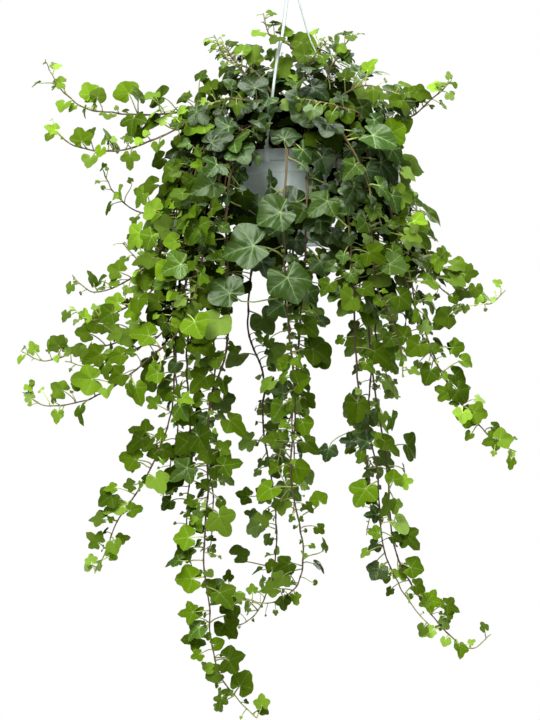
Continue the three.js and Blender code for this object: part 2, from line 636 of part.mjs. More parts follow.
// Sets a leaf on one side of its stem: the petiole's last ring lies in that side, and triangles fill
// the side round it, taking both rims' corners in turn by their angle about the ring's middle.
function joinLeaf(points, triangles, leaf, { numbers, middle, normal }) {
  const skin = leafSkin(leaf);
  const end = skin.points.length - 3;
  for (let i = end; i < end + 3; i++) {
    const out = skin.points[i].clone().sub(leaf.foot);
    out.addScaledVector(normal, -out.dot(normal)).setLength(petioleRadius(leaf.width));
    skin.points[i] = middle.clone().add(out);
  }
  const base = points.push(...skin.points) - skin.points.length;
  triangles.push(...skin.triangles.map(corners => corners.map(i => i + base)));

  const east = points[numbers[1]].clone().sub(points[numbers[0]]).normalize();
  const north = normal.clone().cross(east);
  const turnOf = i => {
    const out = points[i].clone().sub(middle);
    return Math.atan2(out.dot(north), out.dot(east));
  };
  const byTurn = list => list.map(i => ({ i, turn: turnOf(i) })).sort((p, q) => p.turn - q.turn);
  const outer = byTurn(numbers);
  const inner = byTurn([0, 1, 2].map(i => base + end + i));
  let [outside, inside] = [outer.at(-1).i, inner.at(-1).i];
  for (const { i } of [...outer, ...inner].sort((p, q) => p.turn - q.turn)) {
    if (numbers.includes(i)) {
      triangles.push([outside, i, inside]);
      outside = i;
    } else {
      triangles.push([inside, outside, i]);
      inside = i;
    }
  }
}

// The whole plant

function boxOf(manifold) {
  const { min, max } = manifold.boundingBox();
  return new THREE.Box3(V(...min), V(...max));
}

const placed = [];              // everything that a new leaf has to clear: solid, box, stem, segment

function place(manifold, stem = -1, segment = -1) {
  placed.push({ manifold, box: boxOf(manifold), stem, segment });
}

// A leaf fits if its petiole can leave the stem's side, and its blade clears everything and its
// petiole everything but its own stem nearby.
function fits(leaf, corners, vine) {
  if (footSide(corners, leaf.node, leaf).facing < 0.4) return false;
  const blade = leafSolid(leaf, leafClearance, false);
  const whole = leafSolid(leaf, leafClearance, true);
  const box = boxOf(whole);
  const clear = placed.every(item => {
    if (!item.box.intersectsBox(box)) return true;
    const own = item.stem === vine && Math.abs(item.segment - leaf.node + 1) < 2;
    const common = (own ? blade : whole).intersect(item.manifold);
    const empty = common.isEmpty();
    common.delete();
    return empty;
  });
  blade.delete();
  whole.delete();
  return clear;
}

// Every vine with its stem and the leaves that fit. Leaves placed by hand come first.
function growPlant(hardware) {
  const lines = routes.map(stemNodes);
  bendClear(lines, strapAzimuths.map(strapPoints));
  hardware.forEach(piece => place(piece));
  const vines = lines.map((nodes, vine) => {
    const radii = nodes.map((_, i) => stemFoot + (stemTip - stemFoot) * i / (nodes.length - 1));
    const ways = acrossLine(nodes, vineFacing(vine, nodes.at(-1)));
    for (let i = 0; i < nodes.length - 1; i++) {
      const piece = [nodes, radii, ways].map(list => list.slice(i, i + 2));
      place(solid(tube(...piece)), vine, i);
    }
    return { nodes, radii, ways, corners: ringCorners(nodes, radii, ways, 3), leaves: [] };
  });
  const tryLeaf = (vine, leaf) => {
    if (!fits(leaf, vines[vine].corners, vine)) return false;
    place(leafSolid(leaf));
    vines[vine].leaves.push(leaf);
    return true;
  };
  for (const [name, node, notch, tip, width] of placedLeaves) {
    const vine = routes.findIndex(route => route[0] === name);
    tryLeaf(vine, placedPose(lines[vine], node, notch, tip, width));
  }
  vines.forEach(({ nodes, leaves }, vine) => {
    const taken = new Set(leaves.map(leaf => leaf.node));
    for (let node = 3; node < nodes.length; node++) {
      if (taken.has(node)) continue;
      for (let attempt = 0; attempt < leafTries; attempt++) {
        if (tryLeaf(vine, leafPose(nodes, vine, node, attempt))) break;
      }
    }
  });
  return vines;
}

const potBody = pot();
const hangerBody = hanger();
const vines = growPlant([potBody, hangerBody]);

const group = new THREE.Group();
group.position.z = -rimDrop;

function addPiece(name, geometry, color, roughness) {
  const material = new THREE.MeshStandardMaterial({ color, roughness, metalness: 0 });
  const mesh = new THREE.Mesh(geometry, material);
  mesh.name = name;
  group.add(mesh);
}

addPiece('pot', geometryOf(potBody), 0x96a5a8, 0.6);
addPiece('hanger', geometryOf(hangerBody), 0xc9cccb, 0.5);
addPiece('soil', geometryOf(soil(vines)), 0x3a2c20, 1);
vines.forEach((vine, i) => {
  const name = routes[i][0];
  const color = name.startsWith('crown') ? 0x2f5a2c : 0x4f8a3c;
  addPiece(`vine_${name}`, vineGeometry(vine, vine.radii, vine.leaves), color, 0.5);
});

export default group;
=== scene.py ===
from dataclasses import dataclass
from functools import cache
from math import atan2, cos, degrees, exp, hypot, pi, radians, sin
from random import Random

import bmesh
import bpy
import numpy as np
from mathutils import Matrix, Quaternion, Vector, noise
from mathutils.bvhtree import BVHTree
from mathutils.kdtree import KDTree


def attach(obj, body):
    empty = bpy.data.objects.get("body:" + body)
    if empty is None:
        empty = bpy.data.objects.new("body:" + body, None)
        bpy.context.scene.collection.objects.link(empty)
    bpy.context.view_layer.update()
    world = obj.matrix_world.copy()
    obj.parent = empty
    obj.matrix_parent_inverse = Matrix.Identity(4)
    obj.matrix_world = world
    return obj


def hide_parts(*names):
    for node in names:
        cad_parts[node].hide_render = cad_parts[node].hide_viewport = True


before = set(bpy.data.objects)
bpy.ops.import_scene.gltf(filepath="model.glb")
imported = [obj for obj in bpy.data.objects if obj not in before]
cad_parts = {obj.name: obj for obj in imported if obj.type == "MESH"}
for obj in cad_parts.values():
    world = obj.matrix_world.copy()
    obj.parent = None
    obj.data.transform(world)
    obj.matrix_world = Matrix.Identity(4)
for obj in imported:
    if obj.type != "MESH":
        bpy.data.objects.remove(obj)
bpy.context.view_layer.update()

# The plant's own measures are millimetres from the middle of the rim's top: right, back, up.
# TO_FRAME takes them to the frame, in metres from the hook's seat.
RIM_DROP = 338
TO_FRAME = Matrix.Translation((0, 0, -RIM_DROP / 1000)) @ Matrix.Scale(0.001, 4)
UP = Vector((0, 0, 1))

# Camera: level, in front of the plant
CAMERA_AT = Vector((-0.034, -3.5, -0.676))
SEEN_HEIGHT = 1.177             # metres of the pot's plane that the view takes in
SENSOR = 36

RIM_RADIUS = 85
RIM_WALL = 2.5
BAND_HEIGHT = 18
BAND_STEP = 2.3
WALL_LINE = 37
POT_HEIGHT = 150
BASE_RADIUS = 62
SOIL_DEPTH = 15
STEM_DEPTH = 26
STEM_MOUTH = 6                  # a stem leaves its hole this far above the soil

STRAP_WIDTH = 4.6
STRAP_THICKNESS = 2.4
STRAP_AZIMUTHS = [-27.4, 92.6, -147.4]
STRAP_LINE = [[86.6, 4], [83, 20], [75, 50], [50, 143], [31, 188], [13, 250], [4, 284]]
CLIP_WIDTH = 7.3
HOOK_INNER = 12
HOOK_ROD = 2.6
HUB_DROP = 46

STEM_FOOT = 2.1
STEM_TIP = 0.9
STEP_TAPER = 1.2
STEM_CLEARANCE = 6
FIRST_LEAF = 3                  # the stem's first node that carries a leaf
LEAF_TRIES = 14
LEAF_TIP = 0.72                 # from the notch to the tip, in leaf widths
LEAF_FOLD = 0.14
LEAF_DROOP = 0.22
PLACED_DROOP = 0.2
FULL_WIDTH = 62
FULL_UNTIL = 0.35               # the share of a stem with leaves of full width
END_NARROWER = 17
BACK_AZIMUTH = 115              # vines that root farther round face the back
FLAT_HEIGHTS = (-60, 200)       # leaves face outwards below these and more upwards above them


def radial(azimuth, radius, z=0.0):
    """A point by its azimuth in degrees from the front, growing to the right."""
    a = radians(azimuth)
    return Vector((radius * sin(a), -radius * cos(a), z))


def draw(vine, node, attempt, purpose):
    """One repeatable number from 0 to 1 for each vine, leaf node, try and purpose."""
    mask = 0xFFFFFFFF
    t = (vine * 100000 + node * 1000 + attempt * 20 + purpose + 0x6D2B79F5) & mask
    t = (t ^ t >> 15) * (t | 1) & mask
    t ^= t + ((t ^ t >> 7) * (t | 61) & mask) & mask
    return ((t ^ t >> 14) & mask) / 2 ** 32


def spread(*key):
    return 2 * draw(*key) - 1


# Vines: name, root azimuth, root radius, crest [radius, height], points from there to the tip, and
# the step between leaf nodes. The crest is where the stem passes over the rim.
VINE_ROUTES = [
    # Long strands that trail below the pot
    ["long_left", -36, 62, [94, 22], [
        [-100, -125, -55], [-100, -140, -180], [-100, -135, -305], [-118, -130, -375], [-133, -127, -430],
        [-132, -122, -560], [-140, -120, -635], [-130, -118, -730], [-124, -115, -805], [-98, -112, -860],
        [-55, -110, -905]], 66],
    ["left_companion", -50, 48, [96, 38], [
        [-132, -108, -70], [-155, -120, -215], [-166, -112, -355], [-158, -108, -480],
        [-166, -104, -590], [-160, -100, -660]], 71],
    ["under_pot", -160, 58, [96, 20], [
        [-56, 112, -65], [-60, 95, -175], [-74, 55, -265], [-57, 35, -330], [-40, 15, -385], [-46, 0, -450],
        [-30, -15, -535], [-24, -30, -620], [-32, -35, -695], [-58, -40, -750], [-105, -50, -772]], 71],
    ["front_long", -3, 62, [94, 20], [
        [-10, -122, -55], [-12, -132, -160], [-8, -130, -260], [2, -125, -340], [6, -120, -425],
        [-2, -115, -490], [0, -110, -545], [16, -106, -610], [16, -102, -680], [-10, -100, -715],
        [-42, -96, -726], [-72, -95, -718]], 69],
    ["front_companion", 15, 62, [95, 22], [
        [25, -118, -85], [18, -108, -225], [10, -98, -320], [4, -92, -400], [-12, -88, -465],
        [-24, -84, -510]], 71],
    ["right_long", 33, 62, [94, 24], [
        [83, -118, -70], [95, -126, -195], [101, -124, -305], [106, -120, -385], [122, -116, -450],
        [137, -113, -525], [142, -110, -615], [158, -108, -668], [184, -106, -718], [222, -104, -762]], 69],
    ["right_companion", 57, 62, [94, 24], [
        [120, -80, -65], [132, -92, -195], [124, -95, -305], [138, -95, -415], [152, -95, -510],
        [160, -95, -615], [182, -94, -682], [218, -92, -734], [252, -90, -778], [285, -90, -798],
        [318, -88, -775]], 69],
    ["lower_left", -57, 62, [96, 26], [
        [-145, -92, -20], [-168, -108, -140], [-182, -115, -275], [-186, -115, -380], [-198, -115, -455],
        [-222, -112, -505], [-246, -110, -550], [-277, -110, -597], [-294, -110, -640],
        [-312, -110, -676]], 66],

    # Fan of strands to the left
    ["left_fan_lowest", -43, 62, [95, 24], [
        [-116, -130, -55], [-140, -150, -180], [-163, -155, -275], [-210, -160, -322], [-256, -160, -366],
        [-302, -160, -392], [-355, -160, -410], [-398, -160, -405], [-420, -160, -388]], 66],
    ["left_fan_low", -50, 62, [96, 24], [
        [-130, -105, -30], [-157, -125, -150], [-176, -135, -250], [-208, -140, -300], [-255, -145, -326],
        [-296, -146, -341], [-330, -147, -351], [-355, -148, -340]], 66],
    ["left_fan_middle", -64, 62, [98, 26], [
        [-145, -80, -8], [-176, -104, -110], [-195, -114, -192], [-225, -120, -232], [-262, -122, -256],
        [-300, -125, -272], [-328, -125, -274], [-350, -125, -254]], 64],
    ["left_fan_high", -76, 62, [96, 42], [
        [-140, -40, 15], [-176, -60, -55], [-196, -70, -125], [-212, -75, -166], [-242, -79, -196],
        [-278, -82, -220], [-318, -84, -229], [-346, -86, -210]], 64],
    ["left_fan_far", -94, 60, [96, 50], [
        [-140, 5, 40], [-172, -5, -50], [-190, -20, -160], [-216, -28, -256], [-255, -32, -300],
        [-297, -35, -312], [-338, -38, -322], [-378, -40, -336], [-412, -40, -340], [-436, -42, -324]], 66],
    ["left_whip", -112, 60, [98, 46], [
        [-146, 62, 22], [-186, 64, -55], [-211, 56, -95], [-238, 50, -97], [-267, 45, -84], [-296, 40, -55],
        [-310, 40, -24]], 60],
    ["left_low_stub", -124, 60, [98, 44], [
        [-152, 74, -5], [-192, 60, -112], [-217, 40, -168], [-246, 30, -176], [-276, 20, -146]], 69],

    # Fan of strands to the right
    ["right_fan_long", 67, 62, [96, 36], [
        [140, -60, -40], [166, -74, -140], [186, -80, -225], [206, -84, -272], [222, -88, -322],
        [252, -90, -380], [296, -90, -438], [336, -94, -476], [358, -95, -484]], 64],
    ["right_fan_inner", 44, 62, [95, 26], [
        [110, -102, -55], [127, -115, -150], [137, -120, -230], [162, -121, -282], [172, -120, -322],
        [176, -116, -366]], 60],
    ["right_fan_middle", 80, 62, [96, 42], [
        [136, -20, -20], [162, -34, -100], [186, -44, -155], [216, -49, -196], [246, -51, -226],
        [277, -52, -255]], 64],
    ["right_whip", 104, 60, [98, 44], [
        [160, 40, -12], [200, 32, -105], [226, 22, -160], [252, 10, -192], [284, 0, -222], [316, -5, -244],
        [337, -8, -246], [350, -10, -224]], 64],
    ["right_short", 116, 60, [96, 40], [
        [136, 60, -40], [146, 46, -170], [140, 22, -290], [147, 12, -342], [161, 8, -368],
        [173, 5, -400]], 69],

    # Shoots that rise or reach out over the rim
    ["top_right", 76, 32, [84, 66], [
        [120, -6, 62], [160, -2, 54], [186, 2, 56], [212, 2, 72], [240, -4, 96], [256, -8, 106],
        [262, -10, 118]], 55],
    ["top_left_high", -79, 40, [88, 66], [
        [-126, -25, 72], [-166, -30, 66], [-212, -35, 60], [-275, -44, 60], [-325, -48, 66],
        [-356, -50, 78], [-372, -50, 102], [-390, -50, 130]], 60],
    ["top_left_low", -66, 44, [92, 48], [
        [-140, -62, 48], [-186, -70, 34], [-212, -75, 18], [-246, -79, 2], [-288, -82, -5],
        [-332, -84, 0], [-364, -85, 14], [-384, -85, 34]], 60],
    ["top_center", -38, 24, [40, 72], [
        [-34, -36, 108], [-56, -32, 126], [-85, -30, 136], [-106, -27, 152], [-120, -25, 172],
        [-125, -25, 190]], 55],
    ["top_tall", 60, 18, [38, 70], [
        [38, -22, 122], [22, -22, 154], [0, -22, 172], [-24, -21, 176], [-36, -20, 196],
        [-45, -20, 226]], 55],
    ["top_front", 50, 36, [92, 48], [
        [112, -94, 46], [96, -114, 58], [66, -120, 66], [36, -124, 70], [8, -124, 74]], 58],

    # Strands of the back
    ["back_left_long", -130, 60, [98, 24], [
        [-120, 98, -60], [-134, 96, -200], [-126, 92, -340], [-140, 90, -480], [-128, 88, -580],
        [-136, 88, -665]], 71],
    ["back_right_long", 128, 60, [98, 24], [
        [118, 98, -60], [130, 96, -200], [138, 92, -340], [124, 90, -470], [136, 90, -560],
        [128, 92, -632]], 71],
    ["back_left_fan", -106, 46, [100, 58], [
        [-158, 58, -30], [-186, 72, -160], [-196, 66, -300], [-186, 62, -430], [-200, 60, -510],
        [-212, 56, -566]], 71],
    ["back_middle_long", 176, 60, [98, 22], [
        [8, 132, -70], [4, 128, -200], [16, 124, -330], [2, 122, -450], [12, 120, -530], [4, 118, -600]], 71],
    ["back_right_fan", 118, 42, [100, 56], [
        [150, 88, 0], [192, 104, -110], [206, 108, -220], [222, 106, -300], [252, 100, -352],
        [276, 96, -376]], 69],
    ["back_right_short", 146, 44, [100, 46], [
        [104, 150, -20], [124, 176, -120], [120, 184, -220], [134, 186, -290]], 69],
    ["back_middle_short", 180, 44, [100, 48], [
        [-4, 160, -20], [4, 196, -120], [-6, 204, -220], [2, 206, -290]], 69],
]

# Short crown shoots, spread round the pot by the golden angle in three storeys: rising, reaching
# out, and hanging over the rim.
CROWN_SHOOTS = 18
CROWN_START = 20
GOLDEN_ANGLE = 137.5
CROWN_KEY = 100                 # tells a shoot's draws from a vine's
CROWN_LEAN = 14
CROWN_VARIATION = 0.14
CROWN_ROOTS = [10, 22, 32]
CROWN_STEP = 38
CROWN_STOREYS = [
    [[34, 30], [54, 84], [80, 132], [108, 168]],
    [[52, 26], [96, 66], [146, 88], [196, 74]],
    [[70, 20], [116, 38], [152, 4], [172, -62], [178, -128]],
]


def crown_route(i):
    storey = i % len(CROWN_STOREYS)
    azimuth = (i * GOLDEN_ANGLE + CROWN_START) % 360 - 180
    lean = CROWN_LEAN * spread(CROWN_KEY + i, 0, 0, 0)
    reach = 1 + CROWN_VARIATION * spread(CROWN_KEY + i, 0, 0, 1)
    points = [radial(azimuth + lean * j, r * reach, z * reach)
              for j, (r, z) in enumerate(CROWN_STOREYS[storey])]
    return [f"crown_{i + 1:02}", azimuth, CROWN_ROOTS[storey], None, points, CROWN_STEP]


ROUTES = VINE_ROUTES + [crown_route(i) for i in range(CROWN_SHOOTS)]

# Large leaves placed one by one: vine, node, notch, tip direction, width.
PLACED_LEAVES = [
    ["front_long", 4, [-18, -164, -108], [-0.9, -0.25, -0.4], 64],
    ["front_long", 5, [-60, -166, -160], [-1, -0.1, -0.12], 76],
    ["front_long", 6, [-7, -172, -210], [0.35, -0.25, -1], 72],
    ["front_companion", 6, [-97, -166, -234], [-0.63, -0.2, 0.77], 60],
    ["long_left", 7, [-114, -172, -276], [-0.6, -0.2, -0.8], 50],
]

# The photograph's middle in its pixels, where that is on the plane through the pot's axis, and the size
# of a pixel there
PHOTO_MIDDLE = (270, 360)
MIDDLE_AT = (-34.3, -RIM_DROP)
PIXEL = 1.635
EYE_DISTANCE = -1000 * CAMERA_AT.y

# More leaves that the photograph shows plainly, read from it. A row gives how far across and
# down the photograph the notch is, how far back, the tip's clock angle from straight up, the width, the
# age, and how far the face turns right and up, in degrees. Where they aren't given, that is 0 and 10.
BUSH_LEAVES = [
    (297, 201, -128, 262, 56, 0.96, 5, 35), (283, 304, -128, 228, 44, 0.95, 0, 0),
    (333, 212, -140, 325, 52, 0.95, 10, 20), (349, 188, -132, 112, 52, 0.92, 15, 20),
    (322, 144, -112, 84, 42, 0.95, 10, 35), (316, 140, -118, 318, 36, 0.3, 0, 30),
    (285, 139, -104, 8, 48, 0.94, -5, 40), (332, 135, -112, 152, 42, 0.95, 10, 20),
    (337, 126, -100, 84, 36, 0.95, 15, 45), (212, 144, -112, 62, 50, 0.96, -15, 25),
    (250, 137, -108, 236, 40, 0.92, -10, 30), (243, 106, -92, 196, 38, 0.92, -10, 35),
    (221, 110, -90, 178, 30, 0.88, -20, 30), (197, 112, -84, 135, 42, 0.92, -25, 25),
    (369, 147, -100, 42, 46, 0.96, 30, 15), (381, 163, -104, 125, 58, 0.96, 28),
    (397, 196, -104, 92, 44, 0.3, 25, 15), (384, 150, -70, 118, 34, 0.4, 40, 30),
    (300, 42, -14, 300, 34, 0.35), (303, 44, -10, 112, 50, 0.42, 10, 20),
    (279, 69, -24, 62, 42, 0.36, 0, 15), (255, 61, -30, 8, 38, 0.3, -5, 5),
    (359, 98, -32, 6, 46, 0.2, 25, 15), (320, 80, -44, 78, 36, 0.1, 10, 50),
    (319, 87, -54, 252, 34, 0.15, 0, 35), (330, 90, -50, 200, 32, 0.7, 10, 40),
    (289, 106, -64, 330, 28, 0.05, 0, 20), (402, 102, -20, 165, 42, 0.85, 20, 15),
    (409, 92, -14, 60, 34, 0.45, 20, 20), (397, 92, -20, 300, 34, 0.8, 15, 25),
    (260, 81, -56, 196, 36, 0.5, -5, 15), (211, 88, -60, 330, 34, 0.45, -20, 20),
    (200, 78, -50, 10, 30, 0.7, -25, 30), (377, 275, -118, 112, 42, 0.27, 18),
    (390, 305, -114, 92, 42, 0.15, 20, 15), (404, 336, -108, 320, 38, 0.58, 15),
    (408, 237, -106, 113, 42, 0.1, 25, 15), (448, 316, -96, 252, 40, 0.45, 35),
    (350, 236, -134, 170, 24, 0.8, 5, 15), (344, 255, -138, 190, 24, 0.75, 5, 15),
    (334, 266, -134, 240, 24, 0.8), (351, 274, -136, 150, 26, 0.72, 10),
    (357, 262, -140, 60, 26, 0.7, 10, 20), (369, 241, -138, 330, 22, 0.02, 10, 15),
    (375, 247, -136, 80, 22, 0.02, 15, 15), (359, 271, -142, 20, 20, 0.03, 5, 15),
    (270, 221, -122, 192, 46, 0.85, 0, 5), (258, 204, -112, 232, 42, 1, -10),
    (286, 228, -112, 165, 42, 1, 5, 5), (299, 221, -126, 118, 30, 0.9, 10, 15),
    (318, 230, -118, 150, 44, 0.97, 10), (273, 199, -104, 350, 28, 1, 0, 0),
    (312, 205, -116, 200, 34, 0.95, 10, 20), (238, 200, -108, 200, 40, 1, -20),
    (232, 175, -104, 205, 40, 0.97, -20, 15), (262, 262, -120, 160, 40, 1, 0, 0),
    (243, 283, -128, 215, 34, 0.9, -5), (320, 262, -122, 160, 40, 0.9, 10),
    (309, 292, -118, 140, 34, 0.85, 10), (281, 228, -118, 172, 44, 1, 0, 5),
    (271, 183, -110, 5, 34, 0.97, 60, 0), (303, 150, -116, 142, 42, 0.97, 10, 15),
    (322, 158, -120, 165, 44, 0.95, 15, 15), (313, 176, -112, 120, 30, 0.97, 10),
    (320, 220, -122, 246, 46, 0.92, 5, 15), (332, 234, -124, 140, 38, 0.8, 10, 15),
    (262, 222, -116, 150, 40, 1, -5, 0), (296, 240, -112, 160, 38, 0.95),
    (268, 240, -108, 175, 44, 1, 0, 0), (243, 196, -112, 170, 36, 1, -10, 0),
    (238, 172, -112, 200, 38, 0.98, -10, 5), (352, 150, -112, 150, 42, 0.97, 15),
    (366, 170, -118, 165, 44, 0.97, 20), (340, 172, -120, 110, 34, 0.9, 15, 20),
    (226, 150, -108, 190, 36, 0.96, -10, 20), (210, 185, -116, 200, 36, 0.9, -15),
    (205, 215, -120, 170, 34, 0.85, -15), (392, 196, -112, 160, 40, 0.92, 25),
    (350, 200, -126, 190, 36, 0.9, 10, 15), (374, 120, -84, 120, 40, 0.95, 25, 35),
    (354, 106, -70, 100, 36, 0.93, 20, 45), (392, 150, -92, 140, 40, 0.94, 30, 20),
]

# The zooms of the photograph that the strands' and fans' leaves were read from: their left and top edge
# in its pixels, and how many times they enlarge it
ZOOMS = {
    "top_left": (20, 30, 7.127),
    "top_right": (360, 50, 7.75),
    "left": (15, 240, 8.25),
    "right": (405, 220, 6.24),
    "lower_right": (370, 540, 12),
    "lower_left": (75, 420, 9.8),
    "bottom": (165, 560, 8.69),
    "below_pot": (140, 400, 4.9),
}

